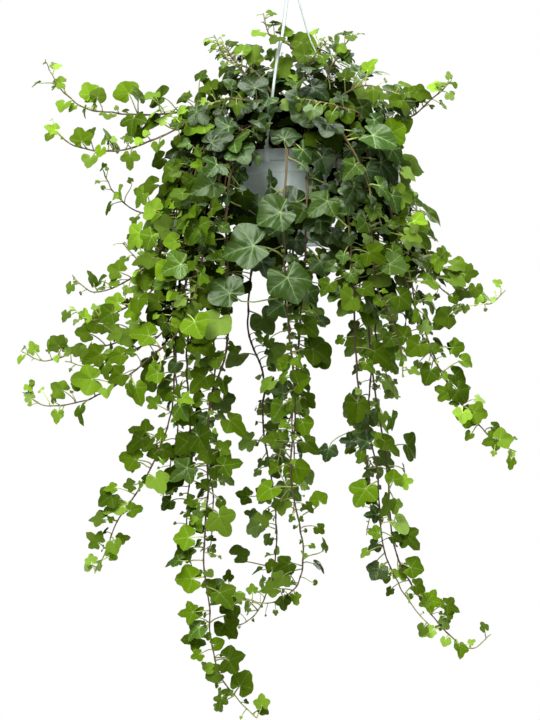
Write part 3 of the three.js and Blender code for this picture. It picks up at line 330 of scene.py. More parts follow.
# These leaves by their zoom and how far back they are. A row gives how far across and down the zoom the
# notch is and the tip is, then the width, age and turns as above.
STRAND_LEAVES = [
    ("top_left", -50, [
        (240, 255, 205, 160, 13, 0.05), (300, 375, 205, 360, 24, 0.35, 0, 20),
        (500, 460, 455, 360, 36, 0.45, 0, 15), (560, 480, 600, 370, 30, 0.45, 0, 20),
        (775, 450, 715, 345, 42, 0.5, -5, 15), (530, 550, 530, 500, 12, 0.1, 0, 0),
        (690, 560, 680, 520, 9, 0.1, 0, 0), (930, 480, 810, 440, 36, 0.3, 0, 60),
        (855, 500, 855, 400, 34, 0.6, 60, 20),
    ]),
    ("top_left", -88, [
        (255, 710, 180, 670, 28, 0.4, 0, 20), (440, 790, 420, 690, 36, 0.5, 0, 15),
        (640, 790, 650, 700, 30, 0.45, 70), (670, 790, 670, 740, 14, 0.1, 0, 20),
        (680, 840, 740, 790, 30, 0.5, 65), (580, 850, 560, 900, 20, 0.5, 0, 20),
        (780, 790, 800, 740, 14, 0.3, 0, 20), (850, 800, 820, 750, 16, 0.4, 0, 20),
        (900, 740, 870, 690, 14, 0.3, 0, 20),
    ]),
    ("top_left", 40, [
        (625, 993, 610, 960, 9, 0.15, 0, 0), (600, 1130, 570, 1110, 9, 0.15, 0, 0),
        (790, 1075, 770, 1040, 12, 0.3, 0, 0),
    ]),
    ("left", -86, [
        (860, 262, 735, 190, 34, 0.45, -10, 15), (645, 350, 600, 230, 30, 0.45, 65),
        (510, 355, 480, 345, 9, 0.1, 0, 0), (835, 340, 770, 375, 20, 0.4, -10, 15),
        (1050, 420, 890, 365, 34, 0.3, -10, 30), (930, 400, 895, 465, 18, 0.35, 0, 15),
    ]),
    ("left", -129, [
        (850, 520, 735, 470, 34, 0.45, -10, 15), (570, 640, 612, 545, 26, 0.4, 40),
        (475, 570, 452, 540, 9, 0.1, 0, 0), (800, 600, 665, 690, 36, 0.6, -5),
        (995, 580, 870, 620, 30, 0.5, -5, 15), (1190, 510, 1060, 450, 40, 0.5, -5, 15),
    ]),
    ("left", -42, [
        (680, 690, 530, 700, 34, 0.5, 0, 15), (610, 770, 450, 740, 36, 0.45, 0, 15),
        (880, 780, 760, 800, 34, 0.3, 0, 30), (360, 870, 260, 760, 32, 0.4),
        (385, 890, 430, 785, 26, 0.4), (545, 910, 430, 900, 32, 0.3, 0, 40),
        (165, 915, 110, 820, 26, 0.35),
    ]),
    ("left", -151, [
        (885, 945, 745, 985, 38, 0.5, -5, 15), (700, 940, 510, 1010, 44, 0.5, -5, 15),
        (1000, 750, 950, 670, 24, 0.3, 0, 20), (1100, 770, 1020, 650, 36, 0.45, -5, 15),
    ]),
    ("left", -166, [
        (640, 1150, 415, 1165, 50, 0.45), (395, 1240, 265, 1165, 34, 0.4),
        (318, 1325, 275, 1270, 16, 0.3, 60, 0), (130, 1305, 65, 1260, 20, 0.15),
        (880, 1110, 740, 1180, 36, 0.5), (1180, 1090, 1060, 1140, 34, 0.6),
    ]),
    ("left", -119, [
        (1165, 1350, 1085, 1280, 28, 0.45),
    ]),
    ("top_right", -12, [
        (695, 215, 688, 150, 16, 0.2), (635, 270, 632, 215, 21, 0.35, 0, 50),
        (605, 290, 475, 215, 30, 0.4, 0, 45), (440, 330, 545, 345, 36, 0.45, 10, 15),
        (400, 410, 350, 280, 32, 0.5), (320, 390, 350, 300, 34, 0.85, 10, 15),
        (300, 385, 205, 300, 34, 0.85, 0, 15), (330, 400, 110, 470, 50, 0.45, 60, 20),
    ]),
    ("right", -56, [
        (235, 215, 290, 100, 26, 0.35, 35), (215, 235, 215, 340, 34, 0.45, 10),
        (300, 285, 410, 300, 32, 0.3, 10, 45), (345, 335, 275, 350, 24, 0.55),
        (290, 370, 365, 415, 36, 0.3, 10, 45), (440, 425, 435, 500, 26, 0.4, 10),
        (545, 500, 590, 465, 12, 0.1), (375, 540, 370, 595, 17, 0.3, 10),
        (300, 480, 335, 535, 20, 0.6, 10),
    ]),
    ("right", -96, [
        (265, 595, 215, 640, 42, 0.6, 15), (125, 690, 130, 600, 26, 0.1),
        (300, 795, 380, 790, 38, 0.55, 35), (175, 800, 265, 810, 24, 0.35, 10, 20),
        (135, 810, 130, 770, 12, 0.05, 0, 0), (85, 895, 50, 945, 20, 0.2),
        (160, 940, 105, 1060, 36, 0.6), (270, 1080, 155, 1010, 34, 0.55),
        (245, 970, 295, 975, 14, 0.4, 10), (330, 1060, 425, 1190, 38, 0.6, 10),
        (355, 1050, 430, 1020, 26, 0.35, 10, 30), (325, 1135, 258, 1150, 18, 0.4),
        (435, 1200, 560, 1220, 36, 0.45, 10), (415, 1235, 290, 1220, 38, 0.5),
        (570, 1370, 447, 1415, 36, 0.45), (590, 1370, 680, 1340, 34, 0.4, 10, 20),
        (670, 1450, 640, 1495, 16, 0.15),
    ]),
    ("right", -124, [
        (20, 100, 175, 180, 34, 0.35, 10, 50), (60, 60, 30, 15, 18, 0.2),
    ]),
    ("lower_right", -108, [
        (160, 330, 150, 250, 12, 0.35), (200, 450, 185, 550, 15, 0.4),
        (80, 310, 25, 560, 26, 0.5, 65, 0), (740, 1090, 560, 1150, 28, 0.25, 0, 30),
    ]),
    ("lower_right", -95, [
        (495, 330, 785, 390, 36, 0.6, 10), (430, 400, 425, 250, 24, 0.6),
        (350, 370, 455, 540, 30, 0.4, 0, 20), (705, 720, 960, 785, 40, 0.5, 10),
        (650, 710, 600, 590, 18, 0.35), (680, 740, 560, 800, 20, 0.35),
        (930, 900, 1065, 805, 22, 0.45, 10), (880, 1000, 990, 940, 24, 0.15, 10, 20),
        (865, 1050, 760, 1050, 14, 0.3), (1200, 1235, 1300, 1175, 14, 0.25),
    ]),
    ("lower_left", -116, [
        (690, 120, 520, 50, 40, 0.5, -5, 30), (590, 385, 320, 325, 42, 0.5, -5, 15),
        (780, 330, 660, 360, 20, 0.5), (865, 290, 975, 330, 34, 0.6, 10), (840, 175, 840, 70, 24, 0.5),
        (680, 590, 800, 575, 18, 0.5), (560, 640, 440, 660, 22, 0.35, 0, 15),
        (455, 850, 240, 900, 40, 0.35, -5, 45), (265, 970, 70, 940, 32, 0.25, -5, 45),
        (545, 885, 725, 860, 30, 0.55, 10), (225, 1195, 65, 1070, 34, 0.4),
        (440, 1165, 565, 1130, 24, 0.55), (345, 1325, 450, 1220, 22, 0.45),
        (165, 1385, 140, 1270, 20, 0.25, 0, 20), (230, 1400, 280, 1355, 10, 0.2, 0, 0),
    ]),
    ("bottom", -120, [
        (235, 160, 50, 180, 44, 0.5, -5), (270, 130, 350, 70, 18, 0.5), (240, 455, 65, 465, 36, 0.5, -5),
        (275, 470, 360, 370, 22, 0.5), (290, 680, 88, 690, 42, 0.55, -5), (385, 660, 330, 660, 14, 0.5),
        (440, 735, 540, 690, 24, 0.5), (375, 240, 500, 160, 26, 0.55), (430, 250, 580, 320, 34, 0.8, 5),
        (590, 390, 425, 470, 34, 0.65), (545, 475, 690, 400, 34, 0.5, 5),
        (545, 850, 740, 830, 42, 0.6, 5), (655, 1090, 790, 920, 42, 0.55, 5),
        (840, 1255, 835, 1120, 26, 0.4), (460, 985, 300, 1040, 32, 0.35, 0, 15),
        (395, 940, 290, 930, 20, 0.4), (540, 1150, 465, 1125, 14, 0.3), (560, 1150, 615, 1210, 14, 0.3),
    ]),
    ("bottom", -56, [
        (520, 550, 650, 745, 44, 0.5), (545, 165, 545, 45, 22, 0.5),
    ]),
    ("bottom", -100, [
        (660, 340, 560, 250, 24, 0.3, 0, 20), (640, 320, 725, 300, 18, 0.05, 0, 20),
        (945, 250, 790, 300, 32, 0.35, 0, 35), (930, 60, 930, 0, 22, 0.5),
    ]),
    ("below_pot", -34, [
        (630, 460, 545, 410, 32, 0.8), (560, 560, 505, 540, 22, 0.75), (530, 470, 430, 450, 30, 0.6),
        (480, 760, 550, 720, 34, 0.35, 0, 30), (650, 835, 670, 770, 24, 0.5),
    ]),
    ("below_pot", -70, [
        (735, 440, 810, 515, 34, 0.75),
    ]),
    ("below_pot", -108, [
        (690, 500, 700, 640, 34, 0.35, 5, 35), (600, 565, 620, 670, 30, 0.3, 0, 35),
        (880, 495, 850, 405, 28, 0.5), (760, 330, 790, 460, 42, 0.5, 5), (700, 160, 700, 210, 20, 0.4),
        (800, 110, 830, 225, 34, 0.55, 5), (800, 215, 790, 250, 22, 0.85),
        (925, 240, 905, 340, 32, 0.95, 10), (735, 820, 750, 740, 24, 0.35, 60),
        (905, 730, 945, 665, 26, 0.55, 60),
    ]),
    ("below_pot", -122, [
        (1035, 200, 955, 190, 28, 0.95), (1115, 205, 1010, 170, 38, 0.95),
        (1085, 262, 1080, 305, 22, 0.6), (1060, 40, 1020, 135, 38, 0.6),
        (1240, 390, 1255, 305, 28, 0.55, 5), (1290, 400, 1370, 395, 26, 0.4, 5),
        (1190, 75, 1200, 130, 20, 0.35, 5), (1250, 505, 1260, 600, 26, 0.35, 5),
        (1240, 670, 1310, 700, 24, 0.7, 5), (1140, 480, 1120, 500, 20, 0.6),
        (1165, 650, 1118, 650, 24, 0.6), (1115, 335, 1098, 335, 9, 0.9, 0, 0),
    ]),
    ("below_pot", -92, [
        (1160, 560, 1100, 565, 30, 0.9), (1160, 705, 1100, 745, 24, 0.8),
    ]),
    ("below_pot", -126, [
        (235, 205, 140, 280, 42, 0.6, -5), (250, 75, 180, 130, 34, 0.55, -5),
        (330, 90, 270, 160, 34, 0.9), (400, 240, 460, 190, 30, 0.45, 5),
        (260, 330, 195, 345, 28, 0.6, -5), (410, 320, 520, 310, 42, 0.6, 5),
        (255, 490, 182, 505, 22, 0.55, -5), (240, 675, 150, 675, 38, 0.55, -5),
        (400, 500, 410, 560, 18, 0.4), (330, 545, 370, 570, 18, 0.4), (285, 505, 240, 545, 16, 0.4),
    ]),
]

# Leaves that stay small, because the photograph sees the pot's front past them.
TUCKED_LEAVES = [("long_left", 0), ("front_long", 0), ("front_companion", 0),
                 ("crown_15", 0), ("left_fan_lowest", 1), ("front_long", 8), ("right_companion", 9)]


def mesh_of(bm, name):
    """A body as a mesh. The body itself is spent."""
    mesh = bpy.data.meshes.new(name)
    bm.to_mesh(mesh)
    bm.free()
    return mesh


def put(name, data):
    """Puts a mesh, a light or the camera into the scene."""
    thing = bpy.data.objects.new(name, data)
    bpy.context.scene.collection.objects.link(thing)
    return thing


def extrude(bm, faces, way):
    """Thickens faces into a closed body."""
    grown = bmesh.ops.extrude_face_region(bm, geom=faces)["geom"]
    bmesh.ops.translate(bm, verts=[v for v in grown if isinstance(v, bmesh.types.BMVert)], vec=way)
    bmesh.ops.recalc_face_normals(bm, faces=bm.faces)


# Stems

def curve_at(points, t):
    """Points of a smooth curve through the given ones, t going from 0 to 1 in even steps of them."""
    line = np.vstack([2 * points[0] - points[1], points, 2 * points[-1] - points[-2]])
    at = np.clip(t, 0, 1) * (len(points) - 1)
    i = np.minimum(at.astype(int), len(points) - 2)
    w = (at - i)[:, None]
    before, start, end, after = line[i], line[i + 1], line[i + 2], line[i + 3]
    leaving, arriving = (end - before) / 2, (after - start) / 2
    return (start + leaving * w + (3 * (end - start) - 2 * leaving - arriving) * w ** 2
            + (2 * (start - end) + leaving + arriving) * w ** 3)


def strap_line(azimuth):
    """The points that a strap of the hanger goes through."""
    return np.array([list(radial(azimuth, *p)) for p in STRAP_LINE])


def nearest(line, point):
    """Which of a line's points is nearest to the given one, and how far it is."""
    reach = np.linalg.norm(line - point, axis=1)
    return int(reach.argmin()), reach.min()


def stem_nodes(route):
    """The points that a vine's stem goes through, from its hole in the soil to its tip."""
    _, azimuth, root_radius, crest, points, step = route
    root = radial(azimuth, root_radius, -SOIL_DEPTH - STEM_DEPTH)
    mouth = radial(azimuth, root_radius, -SOIL_DEPTH + STEM_MOUTH)
    arch = [radial(azimuth, *crest)] if crest else []
    route_points = np.array([list(p) for p in arch + points], float)
    t = np.linspace(0, 1, 201)
    lengths = np.linalg.norm(np.diff(curve_at(route_points, t), axis=0), axis=1)
    reached = np.concatenate([[0], np.cumsum(lengths)])
    count = int(reached[-1] / step + 0.5)
    shares = 1 - (1 - np.arange(count + 1) / count) ** STEP_TAPER
    nodes = curve_at(route_points, np.interp(shares * reached[-1], reached, t))
    return np.vstack([list(root), list(mouth), nodes])


def dot(a, b):
    """The products of two lists of vectors, row by row."""
    return np.einsum("ij,ij->i", a, b)


def bend_clear(stems, straps):
    """Bends stems that come too near each other, or to a strap of the hanger, a little in each round.

    A stem's first two points stay in their hole in the soil.
    """
    rounds, reach, share_a_round = 60, 30, 0.6
    lines = stems + straps
    first = np.cumsum([0] + [len(line) for line in lines])
    points = np.vstack(lines)
    segments = [(line, i) for line in range(len(lines)) for i in range(len(lines[line]) - 1)]
    line_of, place = np.array(segments).T
    start = first[line_of] + place
    one, other = np.triu_indices(len(segments), 1)
    movable = line_of < len(stems)
    apart = (line_of[one] != line_of[other]) & (movable[one] | movable[other])
    one, other = one[apart], other[apart]
    middles = (points[start] + points[start + 1]) / 2
    lengths = np.linalg.norm(points[start + 1] - points[start], axis=1)
    spans = np.linalg.norm(middles[one] - middles[other], axis=1)
    near = spans < (lengths[one] + lengths[other]) / 2 + reach
    one, other = one[near], other[near]
    for _ in range(rounds):
        a, b = points[start[one]], points[start[one] + 1]
        c, d = points[start[other]], points[start[other] + 1]
        u, v, w = b - a, d - c, a - c
        uu, uv, vv, uw, vw = dot(u, u), dot(u, v), dot(v, v), dot(u, w), dot(v, w)
        even = uu * vv - uv * uv
        s = np.where(even > 1e-9, np.clip((uv * vw - vv * uw) / np.maximum(even, 1e-9), 0, 1), 0.5)
        t = np.clip((uv * s + vw) / vv, 0, 1)
        s = np.clip((uv * t - uw) / uu, 0, 1)
        between = a + u * s[:, None] - c - v * t[:, None]
        distance = np.linalg.norm(between, axis=1)
        short = STEM_CLEARANCE - distance
        push = between / np.maximum(distance, 1e-9)[:, None] * (short * share_a_round)[:, None]
        push[short <= 0] = 0
        moves = np.zeros_like(points)
        for segment, share, sign in [(one, s, 1), (other, t, -1)]:
            free = movable[segment]
            lower = (free & (place[segment] > 1)) * (1 - share) * sign
            upper = (free & (place[segment] > 0)) * share * sign
            np.add.at(moves, start[segment], push * lower[:, None])
            np.add.at(moves, start[segment] + 1, push * upper[:, None])
        points += moves
    return [points[first[i]:first[i + 1]] for i in range(len(stems))]


# Leaves

@dataclass
class Leaf:
    foot: Vector
    notch: Vector
    normal: Vector
    tip: Vector
    width: float
    fold: float
    droop: float
    age: float = 0.5
    # how light or dark the leaf is coloured: its random tone times the shade painted into it inside the bush
    shade: float = 1.0

    def axes(self):
        """The blade's directions: to its right, towards its tip, and up out of its face."""
        n = self.normal.normalized()
        y = (self.tip - n * self.tip.dot(n)).normalized()
        return y.cross(n), y, n

    def on_midrib(self, share):
        """A point on the blade, a share of its width from the notch."""
        return self.notch + self.axes()[1] * share * self.width


def leaf_width(vine, node, last, attempt):
    """Large over the rim, smaller down the strand, small and young at the tip."""
    beyond = max(0, node / last - FULL_UNTIL)
    grown = FULL_WIDTH - END_NARROWER * beyond / (1 - FULL_UNTIL)
    young = min(1, 0.42 + 0.24 * (last - node))
    return grown * young * (1 + 0.16 * spread(vine, node, 0, 9)) * (1 - 0.02 * attempt)


def vine_facing(vine, at):
    """Which way a vine's leaves face: outwards, and more to the front or the back than to the side."""
    azimuth = ROUTES[vine][1]
    front = -1 if abs(azimuth) < BACK_AZIMUTH else 1
    facing = (Vector((at.x, at.y, 0)) + radial(azimuth, 40)).normalized() * 0.6
    return (facing + Vector((0, 0.8 * front, 0))).normalized()


def posed_leaf(vine, foot, along, right, width, wilder, chance):
    """A leaf by its stem's direction at its foot and its own chances.

    Leaves face out and up, stand off to one side of their stem and let their tips hang.
    """
    low, high = FLAT_HEIGHTS
    facing = Quaternion(UP, 0.55 * wilder * chance(1)) @ vine_facing(vine, foot)
    height = min(1, max(0, (foot.z - low) / (high - low)))
    rise = 0.4 + 0.55 * height + 0.3 * wilder * chance(2)
    normal = facing * cos(rise) + UP * sin(rise)
    side = along.cross(normal)
    if side.length < 0.3:
        side += Vector((0.5, 0, 0))
    side = side.normalized() * (1 if right else -1)
    stalk = (0.42 * width + 7) * (1 + 0.3 * wilder * chance(3))
    stalk_way = (side * 0.75 + facing * (0.42 + 0.2 * chance(4))
                 + UP * (0.15 + 0.3 * chance(5)) + along * 0.25).normalized()
    tip = stalk_way * 0.9 + UP * (-0.6 - 0.35 * chance(6))
    return Leaf(foot, foot + stalk_way * stalk, normal, tip, width, LEAF_FOLD, LEAF_DROOP)


def rule_leaf(nodes, vine, node, attempt):
    """The leaf that a vine carries at a node: leaves take turns left and right of their stem."""
    last = len(nodes) - 1
    foot = nodes[node - 1].lerp(nodes[node], 0.75 if node == last else 0.5)
    along = (nodes[node] - nodes[node - 1]).normalized()
    right = node % 2 == (1 if attempt % 5 == 4 else 0)
    leaf = posed_leaf(vine, foot, along, right, leaf_width(vine, node, last, attempt),
                      1 + 0.12 * attempt, lambda purpose: spread(vine, node, attempt, purpose))
    leaf.fold += 0.1 * spread(vine, node, 0, 7)
    leaf.droop += 0.14 * spread(vine, node, 0, 8)
    return leaf


def placed_leaf(nodes, node, notch, tip, width):
    """A large leaf placed as listed, on its node."""
    normal = Vector(((tip[0] > 0) * 0.2 - 0.1, -0.9, 0.42)).normalized()
    foot = nodes[node - 1].lerp(nodes[node], 0.5)
    return Leaf(foot, Vector(notch), normal, Vector(tip), width, 0.12, PLACED_DROOP)


def carried_leaves(vine, nodes):
    """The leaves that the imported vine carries. A try was taken if its tip is a corner of the solid."""
    name = ROUTES[vine][0]
    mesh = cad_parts["vine_" + name].data
    corners = KDTree(len(mesh.vertices))
    to_plant = TO_FRAME.inverted()
    for corner in mesh.vertices:
        corners.insert(to_plant @ corner.co, corner.index)
    corners.balance()
    placed = {row[1]: row[2:] for row in PLACED_LEAVES if row[0] == name}
    leaves = []
    for node in range(FIRST_LEAF, len(nodes)):
        if node in placed:
            leaves.append(placed_leaf(nodes, node, *placed[node]))
            continue
        for attempt in range(LEAF_TRIES):
            leaf = rule_leaf(nodes, vine, node, attempt)
            _, y, n = leaf.axes()
            tip = leaf.notch + (y * LEAF_TIP - n * leaf.droop * LEAF_TIP ** 2) * leaf.width
            if corners.find(tip)[2] < 0.1:
                leaves.append(leaf)
                break
    return leaves


# Blank shapes: a flat leaf and a straight tube, shaped anew for each leaf, petiole and stem.

SECTOR = 34                     # degrees from a lobe's tip to the bay beside it
BASE_ANGLE = 160                # degrees from the tip to the leaf's lower edge
UV_SCALE = 0.8                  # a leaf width in its UV map
UV_NOTCH = (0.5, 0.36)
GREEN, UNDERSIDE, BARK, WAXY, PAINTED_SHADE_FINISH = range(5)      # the materials of a vine, in their order


class Blank:
    """A mesh with the arrays that its corners are shaped by."""

    def __init__(self, bm, name):
        for layer in ["age", "shade"]:
            bm.verts.layers.float.new(layer)
        bm.loops.layers.uv.new("surface")
        self.mesh = mesh_of(bm, name)
        self.count = len(self.mesh.vertices)
        flat = np.zeros(self.count * 3)
        self.mesh.vertices.foreach_get("co", flat)
        self.flat = flat.reshape(-1, 3)
        self.corners = np.zeros(len(self.mesh.loops), int)
        self.mesh.loops.foreach_get("vertex_index", self.corners)

    def shaped(self, points, age, shade, uv=None):
        """The mesh with new places for its corners, and with the age and shade that colour them."""
        self.mesh.vertices.foreach_set("co", np.ascontiguousarray(points, np.float32).ravel())
        for name, value in [("age", age), ("shade", shade)]:
            values = np.broadcast_to(value, self.count).astype(np.float32)
            self.mesh.attributes[name].data.foreach_set("value", values)
        if uv is not None:
            surface = self.mesh.uv_layers["surface"].data
            surface.foreach_set("uv", uv[self.corners].astype(np.float32).ravel())
        return self.mesh


def blank_leaf(parts, rings):
    """A closed thin leaf: a fan about the notch, and the same again under it."""
    bm = bmesh.new()
    line = [bm.verts.new((0, i / rings, 0)) for i in range(rings + 1)]
    ribs = [bm.edges.new(pair) for pair in zip(line, line[1:])]
    half = round(BASE_ANGLE / SECTOR * parts)
    turn = radians(half * SECTOR / parts)
    bmesh.ops.rotate(bm, verts=line, matrix=Matrix.Rotation(turn, 3, "Z"))
    bmesh.ops.spin(bm, geom=line + ribs, axis=(0, 0, -1), angle=2 * turn, steps=2 * half)
    bmesh.ops.remove_doubles(bm, verts=bm.verts, dist=1e-4)
    extrude(bm, bm.faces[:], (0, 0, -1))
    for face in bm.faces:
        face.smooth = True
        face.material_index = GREEN if face.normal.z > 0.5 else UNDERSIDE
    for edge in bm.edges:
        edge.smooth = len({f.normal.z > 0.5 for f in edge.link_faces}) == 1
    blank = Blank(bm, "blank_leaf")
    x, y, blank.layer = blank.flat.T
    blank.green = np.zeros(len(blank.mesh.polygons), int)
    blank.mesh.polygons.foreach_get("material_index", blank.green)
    blank.waxy = np.where(blank.green == GREEN, WAXY, blank.green)
    # Faces that take the copy of the leaf material for leaves in deep painted shade
    blank.inner = np.full_like(blank.green, PAINTED_SHADE_FINISH)
    blank.angle = np.degrees(np.arctan2(x, y))
    blank.reach = np.hypot(x, y)
    return blank


@cache
def blank_tube(sides, rings):
    """A closed straight tube, made once for each number of sides and rings."""
    bm = bmesh.new()
    bmesh.ops.create_cone(bm, cap_ends=True, segments=sides, radius1=1, radius2=1, depth=rings - 1)
    upright = [e for e in bm.edges if abs(e.verts[0].co.z - e.verts[1].co.z) > 0.5]
    if rings > 2:
        bmesh.ops.subdivide_edges(bm, edges=upright, cuts=rings - 2)
    bmesh.ops.recalc_face_normals(bm, faces=bm.faces)
    for face in bm.faces:
        face.smooth = len(face.verts) == 4
        face.material_index = BARK
    blank = Blank(bm, "blank_tube")
    blank.ring = np.rint(blank.flat[:, 2] + (rings - 1) / 2).astype(int)
    return blank


# Outlines: the radii of the tip, side and base lobes, then of the bays after each.
OUTLINES = {
    "broad": [0.66, 0.57, 0.42, 0.50, 0.45, 0.10],
    "shield": [0.70, 0.56, 0.39, 0.45, 0.40, 0.08],
    "lobed": [0.73, 0.56, 0.37, 0.38, 0.34, 0.08],
    "narrow": [0.75, 0.47, 0.33, 0.42, 0.33, 0.07],
    "heart": [0.68, 0.50, 0.43, 0.52, 0.44, 0.10],
}
BLADE_THICKNESS = 0.35
RIDGE = 0.05                    # half the width of the rounded fold, in leaf widths
QUILTING = 0.03                 # how far the blade stands up between its veins
SMALL_LEAF, LARGE_LEAF, LARGEST_LEAF = 26, 50, 58


def outline_radius(angle, style):
    """The leaf's edge as distance from the notch: lobes with rounded tips, and narrow bays."""
    turn = np.abs(angle) / SECTOR
    part = np.minimum(turn.astype(int), 4)
    share = turn - part
    lobe = np.array(style.radii[:3])[(part + 1) // 2]
    bay = np.array(style.radii[3:])[part // 2]
    away = np.where(part % 2 == 0, share, 1 - share)
    skewed = 1 + style.skew * np.sin(np.radians(angle))
    return skewed * (lobe - (lobe - bay) * away ** style.roundness)


@dataclass
class Style:
    """How one leaf differs from the next."""
    radii: list
    roundness: float
    skew: float
    wave: float
    waves: float
    phase: float
    curl: float
    lean: float


def style_of(leaf, rng):
    """A leaf's own style: small leaves are narrower, and large ones broader and plainer."""
    if leaf.width < SMALL_LEAF:
        kinds = ["narrow", "shield", "heart"]
    elif leaf.width > LARGEST_LEAF:
        kinds = ["broad"]
    elif leaf.width > LARGE_LEAF:
        kinds = ["broad", "shield", "lobed"]
    else:
        kinds = ["broad", "shield", "shield", "lobed", "narrow", "heart"]
    return Style(
        radii=[radius * rng.uniform(0.94, 1.05) for radius in OUTLINES[rng.choice(kinds)]],
        roundness=rng.uniform(1.05, 1.9),
        skew=rng.uniform(-0.09, 0.09),
        wave=rng.uniform(0.015, 0.06),
        waves=rng.uniform(2.2, 4.4),
        phase=rng.uniform(0, 2 * pi),
        curl=rng.uniform(0.0, 0.16),
        lean=rng.uniform(-0.1, 0.1),
    )


def blade_points(blank, leaf, style):
    """Corners of a blade, and their places in its UV map.

    The blade has its outline, and it is folded along the middle, droops, stands up between its veins
    and is curled and waved at its edge.
    """
    radius = blank.reach * outline_radius(blank.angle, style)
    turn = np.radians(blank.angle)
    across, ahead = radius * np.sin(turn), radius * np.cos(turn)
    bend = leaf.fold * (np.hypot(across, RIDGE) - RIDGE) - leaf.droop * np.maximum(0, ahead) ** 2
    bend += QUILTING * np.sin(turn * 180 / (2 * SECTOR)) ** 2 * np.minimum(1, radius / 0.2)
    bend -= style.curl * blank.reach ** 4 * radius
    bend += style.wave * blank.reach ** 2 * np.sin(style.waves * turn + style.phase)
    x, y, n = leaf.axes()
    layer = blank.layer * BLADE_THICKNESS / leaf.width
    flat = np.stack([across + style.lean * ahead, ahead, bend + layer])
    points = np.array(leaf.notch) + leaf.width * (flat.T @ np.array([x, y, n]))
    return points, np.stack([across, ahead]).T * UV_SCALE + UV_NOTCH


def tube_points(blank, line, radii, section=None, way=None):
    """Corners of a tube along a line, its sides turned along with it.

    Its section is round and its first way across is any, unless they are given.
    """
    line = [Vector(p) for p in line]
    last = len(line) - 1
    along = [(line[min(i + 1, last)] - line[max(i - 1, 0)]).normalized() for i in range(last + 1)]
    ways = [way or along[0].orthogonal().normalized()]
    for before, after in zip(along, along[1:]):
        ways.append(before.rotation_difference(after) @ ways[-1])
    across = [a.cross(w) for a, w in zip(along, ways)]
    ways, across, line = np.array(ways), np.array(across), np.array(line)
    section = blank.flat[:, :2] if section is None else section
    x, y = (section * np.array(radii)[blank.ring][:, None]).T
    return line[blank.ring] + ways[blank.ring] * x[:, None] + across[blank.ring] * y[:, None]


BLANK_LEAVES = {"fine": blank_leaf(4, 3), "plain": blank_leaf(2, 2), "small": blank_leaf(2, 1)}
COARSE_LEAF = blank_leaf(1, 1)
COARSE_TOP = [p.vertices[:] for p in COARSE_LEAF.mesh.polygons if p.material_index == GREEN]


def petiole_line(leaf, rings):
    """From the stem out to the leaf's notch, where it comes in from behind and below."""
    _, y, n = leaf.axes()
    span = (leaf.notch - leaf.foot).length
    end = leaf.notch - n * 0.25
    leave = leaf.foot + ((leaf.notch - leaf.foot) / span + UP * 0.25) * span * 0.4
    arrive = end - (y + n * 0.55).normalized() * span * 0.35
    line = []
    for i in range(rings):
        t = i / (rings - 1)
        line.append(leaf.foot * (1 - t) ** 3 + leave * 3 * t * (1 - t) ** 2
                    + arrive * 3 * t * t * (1 - t) + end * t ** 3)
    return line


# The fuller plant: more leaves on the same stems, none crossing another.

class Foliage:
    """The blades that stand already."""

    def __init__(self, most):
        self.low = np.zeros((most, 3))
        self.high = np.zeros((most, 3))
        self.trees = []

    def add(self, leaf, style, unless_crossing):
        """Adds a blade by a coarse outline of it, unless it would cross another."""
        points, _ = blade_points(COARSE_LEAF, leaf, style)
        tree = BVHTree.FromPolygons(points.tolist(), COARSE_TOP)
        low, high = points.min(0), points.max(0)
        count = len(self.trees)
        if unless_crossing:
            near = ((self.low[:count] < high) & (self.high[:count] > low)).all(1)
            if any(tree.overlap(self.trees[i]) for i in np.flatnonzero(near)):
                return False
        self.low[count], self.high[count] = low, high
        self.trees.append(tree)
        return True


def seen(point):
    """Where the camera sees a point, as right and up on the plane through the pot's axis."""
    at = TO_FRAME @ point
    grow = -CAMERA_AT.y / (at.y - CAMERA_AT.y)
    right = CAMERA_AT.x + (at.x - CAMERA_AT.x) * grow
    up = CAMERA_AT.z + (at.z - CAMERA_AT.z) * grow
    return right * 1000, up * 1000 + RIM_DROP


def from_photo(across, down, back):
    """Right and up of a point of the photograph, in whole millimetres, for something so far back."""
    size = PIXEL * (EYE_DISTANCE + back) / EYE_DISTANCE
    right = (across - PHOTO_MIDDLE[0]) * size + MIDDLE_AT[0]
    up = MIDDLE_AT[1] - (down - PHOTO_MIDDLE[1]) * size
    return round(right), round(up)


def from_zoom(zoom, back, across, down, tip_across, tip_down, *rest):
    """A leaf's right, back, up and clock angle by its notch and tip in a zoom, and the rest of its row."""
    left, top, scale = ZOOMS[zoom]
    right, up = from_photo(left + across / scale, top + down / scale, back)
    clock = round(degrees(atan2(tip_across - across, down - tip_down))) % 360
    return right, back, up, clock, *rest


# Places where the photograph sees between the leaves: the pot's front, and the gaps between the
# strands, as lowest and highest right and up.
POT_VIEWS = [[-62, 16, -52, 3], [-66, -48, -80, -20], [-46, -32, 0, 12], [14, 40, -40, -22]]
CLEAR_VIEWS = [
    [-90, -10, -286, -188],
    [-92, -62, -560, -290],
    [40, 80, -640, -330],
    [5, 24, -160, -148],
    [212, 290, -75, 60],
]
VIEW_MARGIN = 0.3               # how near a leaf may come to such a view, in its own widths
SHOWN_ROOM = 0.38               # how near, in both widths, a leaf may come to one that nothing else may hide
SHOWN_DEPTH = 12

shown = []                      # such leaves' places as seen, with their widths and depths


def show(leaf):
    """Lets nothing else hide a leaf."""
    middle = leaf.on_midrib(0.25)
    shown.append((*seen(middle), leaf.width, middle.y))


def blocks_a_view(leaf):
    middle = leaf.on_midrib(0.2)
    right, up = seen(middle)
    margin = VIEW_MARGIN * leaf.width
    views = CLEAR_VIEWS + (POT_VIEWS if leaf.notch.y < 0 else [])
    if any(low - margin < right < high + margin and bottom - margin < up < top + margin
           for low, high, bottom, top in views):
        return True
    return any(middle.y < depth + SHOWN_DEPTH
               and hypot(right - x, up - z) < SHOWN_ROOM * (leaf.width + width)
               for x, z, width, depth in shown)


